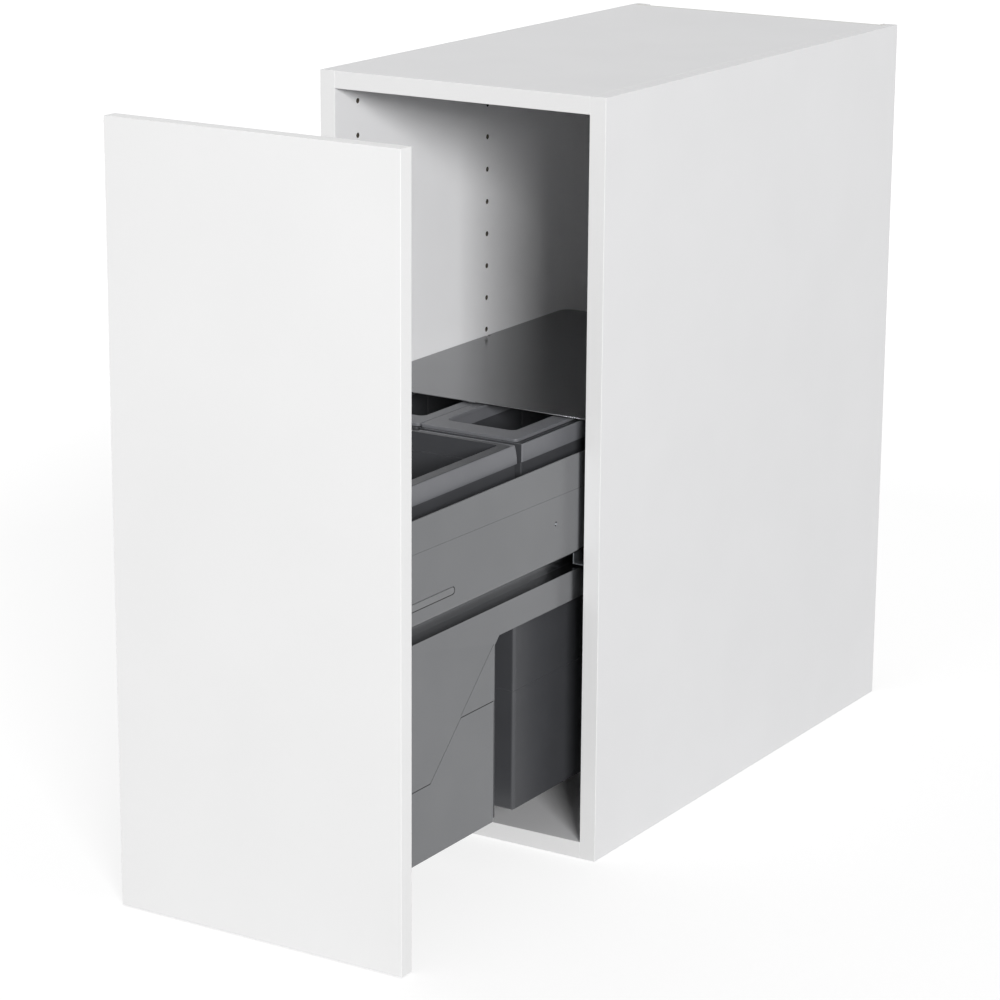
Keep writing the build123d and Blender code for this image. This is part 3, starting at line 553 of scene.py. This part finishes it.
def camBolts():
    # ball head, neck, shank, collar and a coarse screw thread into the side
    size = boltSizes
    shape = bmesh.new()
    joint = nodeBox("side_panel_right")[0].x
    for low, high in solidsOf("cam_bolts"):
        side = 1 if low.x > 0 else -1
        inner, outer = (low.x, high.x) if side > 0 else (high.x, low.x)
        start = Vector((inner, (low.y + high.y) / 2, (low.z + high.z) / 2))
        radius, whole = (high.z - low.z) / 2 / mm, abs(outer - inner) / mm
        shank = (joint - abs(inner)) / mm
        head, neckEnd, neck = size["headLength"], size["headLength"] + size["neckLength"], size["neck"] / 2
        body, thread = radius * size["shank"], radius * size["thread"]
        profile = [(0, 0)] + [(head * along, radius * wide) for along, wide in size["head"]]
        profile += [(head + size["neckBend"], neck), (neckEnd, neck), (neckEnd + size["neckFlare"], body),
                    (shank - size["collar"], body), (shank - size["collar"], radius), (shank, radius)]
        core, pitch, along = thread - size["threadDepth"], size["threadPitch"], shank
        while along + pitch < whole:
            profile += [(along, core), (along + pitch * size["crest"], thread)]
            along += pitch
        profile += [(whole - size["tip"], core), (whole, 0)]
        addTurned(shape, profile, start, (side, 0, 0))
    closeShape(shape)
    dress(shape, "cam_bolts")


crossSizes = {"width": 0.22, "length": 0.62, "taper": 0.55}  # shares of a head's radius


def addCross(tool, centre, axis, radius, depth):
    # a cross recess cutter, its arms narrowing towards the bottom; radius and depth in metres
    turn = Vector((0, 0, 1)).rotation_difference(Vector(axis)).to_matrix().to_4x4()
    size = (crossSizes["length"] * radius, crossSizes["width"] * radius, depth)
    for quarter in (0, math.pi / 2):
        made = bmesh.ops.create_cube(tool, size=2)["verts"]
        bmesh.ops.scale(tool, vec=size, verts=made)
        for vert in made:
            if vert.co.z < 0:
                vert.co.x *= crossSizes["taper"]
        spin = Matrix.Translation(centre) @ turn @ Matrix.Rotation(quarter, 4, "Z")
        bmesh.ops.transform(tool, matrix=spin, verts=made)


lockSizes = {"chamfer": 0.8, "rim": 1.6, "rimStep": 0.2, "waist": 0.4, "endLength": 0.5, "endInset": 1,
             "crossDepth": 2, "steps": 36}


def camLocks():
    # round cams with a wider rim below and a cross recess for the driver
    size = lockSizes
    shape, tool = bmesh.new(), bmesh.new()
    for low, high in solidsOf("cam_locks"):
        radius, tall = (high.x - low.x) / 2 / mm, (high.z - low.z) / mm
        start = Vector(((low.x + high.x) / 2, (low.y + high.y) / 2, low.z))
        cut, rim, waist = size["chamfer"], size["rim"], radius - size["waist"]
        profile = [(0, 0), (0, radius - cut), (cut, radius), (rim, radius), (rim + size["rimStep"], waist),
                   (tall - size["endLength"], waist), (tall, radius - size["endInset"]), (tall, 0)]
        addTurned(shape, profile, start, (0, 0, 1), size["steps"])
        addCross(tool, start, (0, 0, -1), radius * mm, size["crossDepth"] * mm)
    closeShape(shape)
    dress(cutShape(shape, tool, [finishes["zinc_fitting"]]), "cam_locks")


dowels()
camBolts()
camLocks()
print("board fittings made")

screwSizes = {
    "threadStart": 1, "threadPitch": 1.3, "threadDepth": 0.45, "tip": 3,
    # shares of the head's height and radius, from the middle of the dome outwards
    "head": ((1, 0), (0.97, 0.35), (0.8, 0.7), (0.4, 0.95), (0.12, 1), (0, 0.97)),
    "crossDepth": 0.6,  # share of the head's height
}
# the axis is 0 for screws along X, with heads to the middle, and 1 along Y, with heads to the rear
railScrewSizes = {"headHeight": 1.4, "shankRadius": 2.45, "axis": 0}
frontScrewSizes = {"headHeight": 2, "shankRadius": 2, "axis": 1}


def addScrew(shape, tool, seat, axis, headRadius, length, kind):
    # domed head with a cross recess on the side that axis points to, thread and tip on the other
    size = screwSizes
    height, shank = kind["headHeight"], kind["shankRadius"]
    core, pitch, along = shank - size["threadDepth"], size["threadPitch"], size["threadStart"]
    profile = [(height * tall, headRadius * wide) for tall, wide in size["head"]] + [(0, shank)]
    while along < length - size["tip"]:
        profile += [(-along, core), (-along - pitch / 2, shank)]
        along += pitch
    profile += [(size["tip"] - length, core), (-length, 0)]
    addTurned(shape, profile, seat, axis)
    addCross(tool, seat + axis * height * mm, axis, headRadius * mm, height * size["crossDepth"] * mm)


def screws(node, kind):
    shape, tool = bmesh.new(), bmesh.new()
    along, height = kind["axis"], kind["headHeight"]
    for low, high in solidsOf(node):
        seat, axis = (low + high) / 2, Vector((0, 0, 0))
        axis[along] = -1 if along == 0 and seat.x > 0 else 1
        top = low[along] if axis[along] < 0 else high[along]
        seat[along] = top - axis[along] * height * mm
        length = (high[along] - low[along]) / mm - height
        addScrew(shape, tool, seat, axis, (high.z - low.z) / 2 / mm, length, kind)
    closeShape(shape)
    dress(cutShape(shape, tool, [finishes[slotOf[node]]]), node)


screws("rail_screws", railScrewSizes)
screws("front_screws", frontScrewSizes)

rivetSizes = {
    "headHeight": 1, "shank": 1.5, "mandrel": 0.8, "mandrelDepth": 0.35, "lipDepth": 0.05, "lipWidth": 0.3,
    "mandrelTaper": 0.9,  # share of the mandrel's radius
    "dome": ((0.3, 0.72), (0.75, 1), (1, 1)),  # shares of the head's height and radius
}


def rivets():
    # blind rivets: a domed flange with the broken mandrel in its middle
    size = rivetSizes
    shape = bmesh.new()
    for low, high in solidsOf("rivets"):
        middle, side = (low + high) / 2, 1 if low.x > 0 else -1
        radius, long = (high.z - low.z) / 2 / mm, (high.x - low.x) / mm
        start = Vector((low.x if side > 0 else high.x, middle.y, middle.z))
        tall, pin, sunk = size["headHeight"], size["mandrel"], size["mandrelDepth"]
        profile = [(sunk, 0), (sunk, pin * size["mandrelTaper"]), (0, pin),
                   (size["lipDepth"], pin + size["lipWidth"])]
        profile += [(tall * rise, radius * wide) for rise, wide in size["dome"]]
        profile += [(tall, size["shank"]), (long, size["shank"]), (long, 0)]
        addTurned(shape, profile, start, (side, 0, 0))
    closeShape(shape)
    dress(shape, "rivets")


bumperSizes = {"flat": 0.55, "steps": 6}  # flat is the plain middle's share of the radius


def bumpers():
    # self-adhesive domes on the back of the front panel
    flat, steps = bumperSizes["flat"], bumperSizes["steps"]
    shape = bmesh.new()
    for low, high in solidsOf("bumpers"):
        radius, tall = (high.x - low.x) / 2 / mm, (high.y - low.y) / mm
        start = Vector(((low.x + high.x) / 2, low.y, (low.z + high.z) / 2))
        dome = [(tall * math.sin(turn), radius * (flat + (1 - flat) * math.cos(turn)))
                for turn in (math.pi / 2 * step / steps for step in range(steps + 1))]
        addTurned(shape, [(0, 0)] + dome + [(tall, 0)], start, (0, 1, 0))
    closeShape(shape)
    dress(shape, "bumpers")


rollerSizes = {"chamfer": 0.4}


def rollers(node):
    shape = bmesh.new()
    cut = rollerSizes["chamfer"]
    for low, high in solidsOf(node):
        radius, long = (high.z - low.z) / 2 / mm, (high.x - low.x) / mm
        start = Vector((low.x, (low.y + high.y) / 2, (low.z + high.z) / 2))
        profile = [(0, 0), (0, radius - cut), (cut, radius), (long - cut, radius), (long, radius - cut),
                   (long, 0)]
        addTurned(shape, profile, start, (1, 0, 0))
    closeShape(shape)
    dress(shape, node)


rivets()
bumpers()
for row in ("lower", "upper"):
    for side in ("left", "right"):
        rollers(f"{row}_rollers_{side}")
print("screws, rivets, bumpers and rollers made")

frontSizes = {"front": {"edgeRadius": 0.4, "edgeSteps": 4}, "rear": {"edgeRadius": 0.4, "edgeSteps": 2}}


def frontPanel():
    low, high = nodeBox("front_panel")
    shape = bmesh.new()
    addBlock(shape, low, high)
    for end, y in (("front", low.y), ("rear", high.y)):
        outer = [edge for edge in shape.edges if all(abs(vert.co.y - y) < mm for vert in edge.verts)]
        roundEdges(shape, frontSizes[end], outer)
    dress(shape, "front_panel")


frontPanel()

# neckStep is how far the neck above the ledge stands out, ledgeDrop the ledge's depth below the top
binSizes = {"wall": 2, "corner": 4, "footInset": 3, "floorRise": 1, "neckStep": 2, "ledgeDrop": 17,
            "rimHeight": 3, "rimCorner": 2, "frontRim": 10.7, "rearRim": 5, "edgeRadius": 0.6, "edgeSteps": 3}
rearSizes = {"wall": 2, "corner": 3.2, "footInset": 1.5, "floorRise": 1, "rim": 3.5, "rimHeight": 2.2,
             "bead": 0.5, "beadHeight": 174, "edgeRadius": 0.5, "leastTurn": 40}


def footLevels(x, y, bottom, size):
    # the outside of a bin's foot, from its underside up
    foot, corner = size["footInset"], size["corner"] * mm
    return [(grow(x, -foot), grow(y, -foot), bottom, corner - foot * mm), (x, y, bottom + foot * mm, corner)]


def floorLevels(x, y, bottom, size):
    # the inside of a bin's foot, down to its floor
    foot, corner = size["footInset"], (size["corner"] - size["wall"]) * mm
    return [(x, y, bottom + (foot + size["floorRise"]) * mm, corner),
            (grow(x, -foot), grow(y, -foot), bottom + size["wall"] * mm, corner / 2)]


def frontBin():
    # an upright box with a step for its neck and a wide rim
    low, high = nodeBox("front_bin")
    size = binSizes
    x = (low.x + size["frontRim"] * mm, high.x - size["frontRim"] * mm)
    y = (low.y + size["frontRim"] * mm, high.y - size["rearRim"] * mm)
    rim = high.z - size["rimHeight"] * mm
    ledge = high.z - size["ledgeDrop"] * mm
    wall, corner = size["wall"] * mm, size["corner"] * mm
    inner = (grow(x, -size["wall"]), grow(y, -size["wall"]))
    neck = (grow(x, size["neckStep"]), grow(y, size["neckStep"]))
    outline = ((low.x, high.x), (low.y, high.y))
    levels = footLevels(x, y, low.z, size)
    levels += [
        (x, y, ledge - wall, corner),
        (*neck, ledge - wall, corner + wall), (*neck, rim, corner + wall),
        (*outline, rim, corner + size["rimCorner"] * mm), (*outline, high.z, corner + size["rimCorner"] * mm),
        (x, y, high.z, corner), (x, y, ledge, corner),
        (*inner, ledge, corner - wall),
    ]
    levels += floorLevels(*inner, low.z, size)
    shape = bmesh.new()
    addShell(shape, levels)
    roundEdges(shape, size)
    dress(cutShape(shape, fingerRecess(), [finishes["dark_plastic"]]), "front_bin")


def rearBin(node):
    # an upright box with a fine bead around it and a narrow rim
    low, high = nodeBox(node)
    size = rearSizes
    x, y = grow((low.x, high.x), -size["rim"]), grow((low.y, high.y), -size["rim"])
    rim = high.z - size["rimHeight"] * mm
    corner, bead = size["corner"] * mm, size["bead"] * mm
    inner = (grow(x, -size["wall"]), grow(y, -size["wall"]))
    beaded = (grow(x, size["bead"]), grow(y, size["bead"]))
    outline = ((low.x, high.x), (low.y, high.y))
    beadZ = size["beadHeight"] * mm
    levels = footLevels(x, y, low.z, size)
    levels += [
        (x, y, beadZ - bead, corner),
        (*beaded, beadZ - bead / 2, corner), (*beaded, beadZ + bead / 2, corner),
        (x, y, beadZ + bead, corner), (x, y, rim, corner),
        (*outline, rim, corner), (*outline, high.z, corner),
        (*inner, high.z, (size["corner"] - size["wall"]) * mm),
    ]
    levels += floorLevels(*inner, low.z, size)
    shape = bmesh.new()
    addShell(shape, levels)
    roundEdges(shape, size)
    dress(shape, node)


# behind is how far the recess starts before the front bin's rear edge, reach its length to the rear
recessSizes = {"halfWidth": 13, "reach": 17.2, "behind": 2.7, "depth": 20, "above": 5, "corner": 5, "wall": 2}
recessFront = nodeBox("front_bin")[1].y - recessSizes["behind"] * mm


def fingerRecess():
    # the cutter for the finger recess that the front bin and both frames share
    size = recessSizes
    top = nodeBox("front_bin")[1].z
    half = size["halfWidth"] * mm
    tool = bmesh.new()
    addShell(tool, [((-half, half), (recessFront, recessFront + size["reach"] * mm), z, size["corner"] * mm)
                    for z in (top - size["depth"] * mm, top + size["above"] * mm)])
    return tool


# band runs from the side channel's top up to the rim face, step is how far it stands in from it, crown
# how far the front frame's rim face leans in, and overhang how much wider the rear frame is
frameSizes = {"band": 18.8, "step": 1.5, "wall": 2.5, "corner": 1.2, "seatPlay": 0.3, "crown": 2.6,
              "crownSteps": 6, "plateDrop": 5.7, "upstand": 1.6, "overhang": 1, "gapPlay": 0.1,
              "edgeRadius": 0.5, "leastTurn": 50}
flangeSizes = {"thick": 3, "reach": 11.5, "inset": 10, "edgeRadius": 0.6}
channelLow, channelHigh = nodeBox("side_channel_right")
bandTop = channelHigh.z + frameSizes["band"] * mm


def frameOuter(half, y, step, bottom, top, crown=0):
    # the outside of a frame: the band below, and the rim face that leans in on a curve by the crown
    size = frameSizes
    corner = size["corner"] * mm
    band = half - step * mm
    levels = [((-band, band), grow(y, -step), z, corner) for z in (bottom, bandTop)]
    tall = (top - bandTop) / mm
    bend = (tall ** 2 + crown ** 2) / (2 * crown) if crown else 0
    steps = size["crownSteps"] if crown else 1
    for number in range(steps + 1):
        rise = tall * number / steps
        lean = bend - math.sqrt(bend ** 2 - rise ** 2) if crown else 0
        width = half - lean * mm
        levels.append(((-width, width), y, bandTop + rise * mm, corner))
    return levels


def darkBandAndGapShade(shape, shadedGapWall):
    # the band under the rim face is drawn in the darker plastic, and the wall at the gap between the frames
    # takes it too as painted shade
    for face in shape.faces:
        middle = face.calc_center_median()
        gapShade = abs(middle.y - shadedGapWall) < frameSizes["gapPlay"] * mm
        # the gap walls are painted dark to stand in for the shade between the two frames
        face.material_index = int(middle.z < bandTop - mm or gapShade)


def addFlanges(shape, y, materials):
    # the two ledges that rest on the side channels
    size = flangeSizes
    step = frameSizes["step"]
    ledges = bmesh.new()
    for side in (-1, 1):
        ends = sorted((side * (channelLow.x - (step + frameSizes["wall"] / 2) * mm),
                       side * (channelLow.x + (size["reach"] - step) * mm)))
        addBlock(ledges, (ends[0], y[0] + size["inset"] * mm, channelHigh.z),
                 (ends[1], y[1] - size["inset"] * mm, channelHigh.z + size["thick"] * mm))
    roundEdges(ledges, size)
    return cutShape(shape, ledges, materials, operation="UNION")


def frontFrame():
    # a hollow frame whose seat takes the rim of the front bin
    low, high = nodeBox("front_bin_frame")
    size = frameSizes
    y = (low.y, high.y)
    levels = frameOuter(channelLow.x, y, size["step"], low.z, high.z, size["crown"])
    binLow, binHigh = nodeBox("front_bin")
    binX, binY = (binLow.x, binHigh.x), (binLow.y, binHigh.y)
    seat = (grow(binX, size["seatPlay"]), grow(binY, size["seatPlay"]))
    corner = (binSizes["corner"] + binSizes["rimCorner"]) * mm
    seatZ = high.z - (binSizes["rimHeight"] + size["seatPlay"]) * mm
    by = binSizes["neckStep"] + size["seatPlay"]
    hole = (grow(binX, by - binSizes["frontRim"]),
            grow((binY[0] + binSizes["frontRim"] * mm, binY[1] - binSizes["rearRim"] * mm), by))
    under = seatZ - (flangeSizes["thick"] - size["seatPlay"]) * mm
    half = channelLow.x - (size["step"] + size["wall"]) * mm
    cavity = ((-half, half), grow(y, -size["step"] - size["wall"]))
    levels += [
        (*seat, high.z, corner), (*seat, seatZ, corner),
        (*hole, seatZ, corner), (*hole, under, corner),
        (*cavity, under, size["corner"] * mm), (*cavity, low.z, size["corner"] * mm),
    ]
    shape = bmesh.new()
    addShell(shape, levels, closed=True)
    roundEdges(shape, size)
    paint = [finishes["frame_plastic"]]
    shape = addFlanges(shape, grow(y, -size["step"]), paint)
    shape = cutShape(shape, fingerRecess(), paint)
    # darker band, and painted shade on the rear wall at the gap
    darkBandAndGapShade(shape, high.y)
    dress(shape, "front_bin_frame", [finishes["dark_plastic"]])


def rearFrame():
    # a hollow frame with a sunk plate on top, cut out for both rear bins and the finger recess
    low, high = nodeBox("rear_bin_frame")
    size = frameSizes
    corner = size["corner"] * mm
    y = (low.y, high.y)
    half = channelLow.x + size["overhang"] * mm
    step = size["step"] + size["overhang"]
    plateZ = high.z - size["plateDrop"] * mm
    up = size["upstand"]
    levels = frameOuter(half, y, step, low.z, high.z)
    levels += [(grow((-half, half), -up), grow(y, -up), z, corner / 2) for z in (high.z, plateZ)]
    shape = bmesh.new()
    addShell(shape, levels)
    roundEdges(shape, size)
    paint = [finishes["frame_plastic"]]
    hollow = half - (step + size["wall"]) * mm
    tool = bmesh.new()
    addShell(tool, [((-hollow, hollow), grow(y, -step - size["wall"]), z, corner)
                    for z in (low.z - past, plateZ - flangeSizes["thick"] * mm)])
    shape = cutShape(shape, tool, paint)
    by = size["seatPlay"] - rearSizes["rim"]
    for side in ("left", "right"):
        binLow, binHigh = nodeBox(f"rear_bin_{side}")
        seat = (grow((binLow.x, binHigh.x), by), grow((binLow.y, binHigh.y), by))
        tool = bmesh.new()
        addShell(tool, [(*seat, z, rearSizes["corner"] * mm) for z in (low.z, high.z)])
        shape = cutShape(shape, tool, paint)
    shape = addFlanges(shape, grow(y, -step), paint)
    cup, recess = bmesh.new(), recessSizes
    wide = (recess["halfWidth"] + recess["wall"]) * mm
    addBlock(cup, (-wide, y[0] + step * mm, high.z - (recess["depth"] + recess["wall"]) * mm),
             (wide, recessFront + (recess["reach"] + recess["wall"]) * mm, plateZ))
    shape = cutShape(shape, cup, paint, operation="UNION")
    shape = cutShape(shape, fingerRecess(), paint)
    # darker band, and painted shade on the front wall at the gap
    darkBandAndGapShade(shape, low.y)
    dress(shape, "rear_bin_frame", [finishes["dark_plastic"]])


ringSizes = {"corner": 4, "wideCorner": 6, "collar": 12, "collarWall": 2, "play": 2.3, "sideMargin": 18,
             "middleMargin": 11.6, "frontMargin": 25.5, "rearMargin": 14, "edgeRadius": 0.5, "leastTurn": 50}


def bagRing(side):
    # a slab with a rounded mouth, and a collar that hangs in the bin
    low, high = nodeBox(f"bag_ring_{side}")
    size = ringSizes
    foot = low.z + size["collar"] * mm
    binLow, binHigh = nodeBox(f"rear_bin_{side}")
    margin = -rearSizes["rim"] - size["play"]
    collar = (grow((binLow.x, binHigh.x), margin), grow((binLow.y, binHigh.y), margin))
    inside = (grow(collar[0], -size["collarWall"]), grow(collar[1], -size["collarWall"]))
    near, far = size["middleMargin"] * mm, size["sideMargin"] * mm
    mouth = ((low.x + near, high.x - far) if low.x > 0 else (low.x + far, high.x - near),
             (low.y + size["frontMargin"] * mm, high.y - size["rearMargin"] * mm))
    slab = ((low.x, high.x), (low.y, high.y))
    corner, wide = size["corner"] * mm, size["wideCorner"] * mm
    levels = [
        (*slab, foot, corner), (*slab, high.z, corner),
        (*mouth, high.z, wide), (*mouth, foot, wide),
        (*inside, foot, corner), (*inside, low.z, corner),
        (*collar, low.z, wide), (*collar, foot, wide),
    ]
    shape = bmesh.new()
    addShell(shape, levels, closed=True)
    roundEdges(shape, size)
    dress(shape, f"bag_ring_{side}")


frontBin()
frontFrame()
rearFrame()
for side in ("left", "right"):
    rearBin(f"rear_bin_{side}")
    bagRing(side)
print("front panel, bins and frames made")

# rails, cages, channels and brackets keep the model's shape; these are the radii of their edges
railRule = {"leastLength": 0.9}
railRadii = {"cabinet_rail": 0.35, "middle_rail": 0.35, "drawer_rail": 0.35, "brace_extension": 0.3,
             "front_bracket": 0.4, "side_channel": 0.3, "lower_cage": 0.2, "upper_cage": 0.2}
for stem, radius in railRadii.items():
    for side in ("left", "right"):
        softenNode(f"{stem}_{side}", {**railRule, "edgeRadius": radius})

capSizes = {"inset": 0.4, "edgeRadius": 0.15, "edgeSteps": 1, "leastTurn": 60}


def coverCap(node):
    # the cap stands a little in from its slot, which leaves the dark line around it
    shape = copyNode(node)
    low, high = nodeBox(node)
    share = [1 - 2 * capSizes["inset"] * mm / (high[along] - low[along]) for along in (1, 2)]
    bmesh.ops.scale(shape, vec=(1, *share), verts=shape.verts, space=Matrix.Translation(-(low + high) / 2))
    roundEdges(shape, capSizes)
    dress(shape, node)


coverCap("cover_cap_left")
coverCap("cover_cap_right")

holderSizes = {"edgeRadius": 0.5, "edgeSteps": 3, "leastLength": 1.5}
softenNode("plate_holders", holderSizes)

sheetRule = {"edgeSteps": 1, "leastTurn": 60, "leastLength": 6}  # for bent sheet steel
braceSizes = {**sheetRule, "edgeRadius": 0.3, "lineDepth": 0.2, "pressedDepth": 0.8, "play": 0.02}


def brace(node):
    # the scored line of the gusset is pressed deeper than in the model, so that it shows
    size = braceSizes
    shape = copyNode(node)
    low, high = nodeBox(node)
    side, outer = (1, high.x) if high.x > 0 else (-1, low.x)
    bottom = outer - side * size["lineDepth"] * mm
    scored = [vert for vert in shape.verts if abs(vert.co.x - bottom) < size["play"] * mm]
    lips = {other for vert in scored for edge in vert.link_edges for other in edge.verts}
    for vert in scored:
        vert.co.x = outer - side * size["pressedDepth"] * mm
    roundEdges(shape, size, [edge for edge in shape.edges if not lips.intersection(edge.verts)])
    dress(shape, node)


brace("brace_left")
brace("brace_right")

sheetRadii = {"back_plate": 0.3, "cover_plate": 0.25, "drawer_side_left": 0.2, "drawer_side_right": 0.2}
for node, radius in sheetRadii.items():
    softenNode(node, {**sheetRule, "edgeRadius": radius})
print("rails, braces, sheets and cages made")

cameraSizes = {"lens": 121.92, "sensor": 36, "place": (1606.2, -2803.1, 1151.7), "turn": 31.844,
               "tilt": 15.548, "roll": 0.404, "near": 100, "far": 60000}


def placeCamera():
    size = cameraSizes
    data = bpy.data.cameras.new("camera")
    data.lens, data.sensor_width = size["lens"], size["sensor"]
    data.clip_start, data.clip_end = size["near"] * mm, size["far"] * mm
    camera = bpy.data.objects.new("camera", data)
    turn, tilt, roll = (math.radians(size[key]) for key in ("turn", "tilt", "roll"))
    camera.matrix_world = (Matrix.Translation(Vector(size["place"]) * mm)
                           @ Matrix.Rotation(turn, 4, "Z") @ Matrix.Rotation(math.pi / 2 - tilt, 4, "X")
                           @ Matrix.Rotation(roll, 4, "Z"))
    bpy.context.scene.collection.objects.link(camera)
    bpy.context.scene.camera = camera


aim = (0, -0.15, 0.45)  # the point that the lamps look at, in metres
lamps = {  # metres, watts and degrees; turn is counted from straight in front to the right
    "keyBox": {"power": 1740, "far": 14, "turn": 43.7, "rise": 16, "wide": 3.95, "high": 3.1},
    "leftBox": {"power": 15, "far": 6, "turn": -30, "rise": 15, "wide": 3, "high": 3},
    "backBox": {"power": 60, "far": 5, "turn": -110, "rise": 45, "wide": 4, "high": 4},
}


def placeLamp(name):
    # a soft box that looks at the cabinet from a direction
    size = lamps[name]
    data = bpy.data.lights.new(name, "AREA")
    data.shape, data.energy, data.size, data.size_y = "RECTANGLE", size["power"], size["wide"], size["high"]
    turn, rise = math.radians(size["turn"]), math.radians(size["rise"])
    toLamp = Vector((math.cos(rise) * math.sin(turn), -math.cos(rise) * math.cos(turn), math.sin(rise)))
    lamp = bpy.data.objects.new(name, data)
    place = Vector(aim) + toLamp * size["far"]
    lamp.matrix_world = Matrix.Translation(place) @ toLamp.to_track_quat("Z", "Y").to_matrix().to_4x4()
    lamp.visible_camera = False
    bpy.context.scene.collection.objects.link(lamp)


def seenWhite(owner):
    # 1 for rays from the camera, and for those that gloss and clear materials reflect or pass on
    path = addNode(owner, "ShaderNodeLightPath")
    seen = path.outputs["Is Camera Ray"]
    for ray in ("Is Glossy Ray", "Is Transmission Ray"):
        seen = addNode(owner, "ShaderNodeMath", {"operation": "MAXIMUM"},
                       {0: seen, 1: path.outputs[ray]}).outputs[0]
    return seen


worldSizes = {"ambient": 0.31, "seen": 1}  # strengths, for the object's light and for the background


def paintWorld():
    world = bpy.data.worlds.new("studio")
    bpy.context.scene.world = world
    world.use_nodes = True
    world.node_tree.nodes.clear()
    limits = {"To Min": worldSizes["ambient"], "To Max": worldSizes["seen"]}
    level = addNode(world, "ShaderNodeMapRange", limits, {"Value": seenWhite(world)})
    sky = addNode(world, "ShaderNodeBackground", {"Color": (1, 1, 1, 1)}, {"Strength": level.outputs[0]})
    addNode(world, "ShaderNodeOutputWorld", {}, {"Surface": sky.outputs[0]})


# white is the floor's own shade; the glow makes it run into the background from near to far, in metres
floorSizes = {"white": 0.35, "near": 1, "far": 3, "nearGlow": 0.75, "farGlow": 1, "half": 30}


def layFloor():
    # white studio floor that keeps the shadow and still runs into the white background
    size = floorSizes
    material = bpy.data.materials.new("studioFloor")
    material.use_nodes = True
    material.node_tree.nodes.clear()
    matt = addNode(material, "ShaderNodeBsdfDiffuse", {"Color": (size["white"],) * 3 + (1,)})
    place = addNode(material, "ShaderNodeTexCoord").outputs["Object"]
    away = addNode(material, "ShaderNodeVectorMath", {"operation": "LENGTH"}, {0: place}).outputs["Value"]
    limits = {"From Min": size["near"], "From Max": size["far"], "To Min": size["nearGlow"],
              "To Max": size["farGlow"]}
    fade = addNode(material, "ShaderNodeMapRange", limits, {"Value": away}).outputs[0]
    glow = addNode(material, "ShaderNodeMath", {"operation": "MULTIPLY"}, {0: seenWhite(material), 1: fade})
    shine = addNode(material, "ShaderNodeEmission", {}, {"Strength": glow.outputs[0]})
    both = addNode(material, "ShaderNodeAddShader", {}, {0: matt.outputs[0], 1: shine.outputs[0]})
    addNode(material, "ShaderNodeOutputMaterial", {}, {"Surface": both.outputs[0]})
    shape = bmesh.new()
    bmesh.ops.create_grid(shape, x_segments=1, y_segments=1, size=size["half"])
    floor = newPiece(shape, "floor", [material])


placeCamera()
for name in lamps:
    placeLamp(name)
paintWorld()
layFloor()
bpy.context.scene.view_settings.view_transform = "Standard"
print("camera, light and floor set")
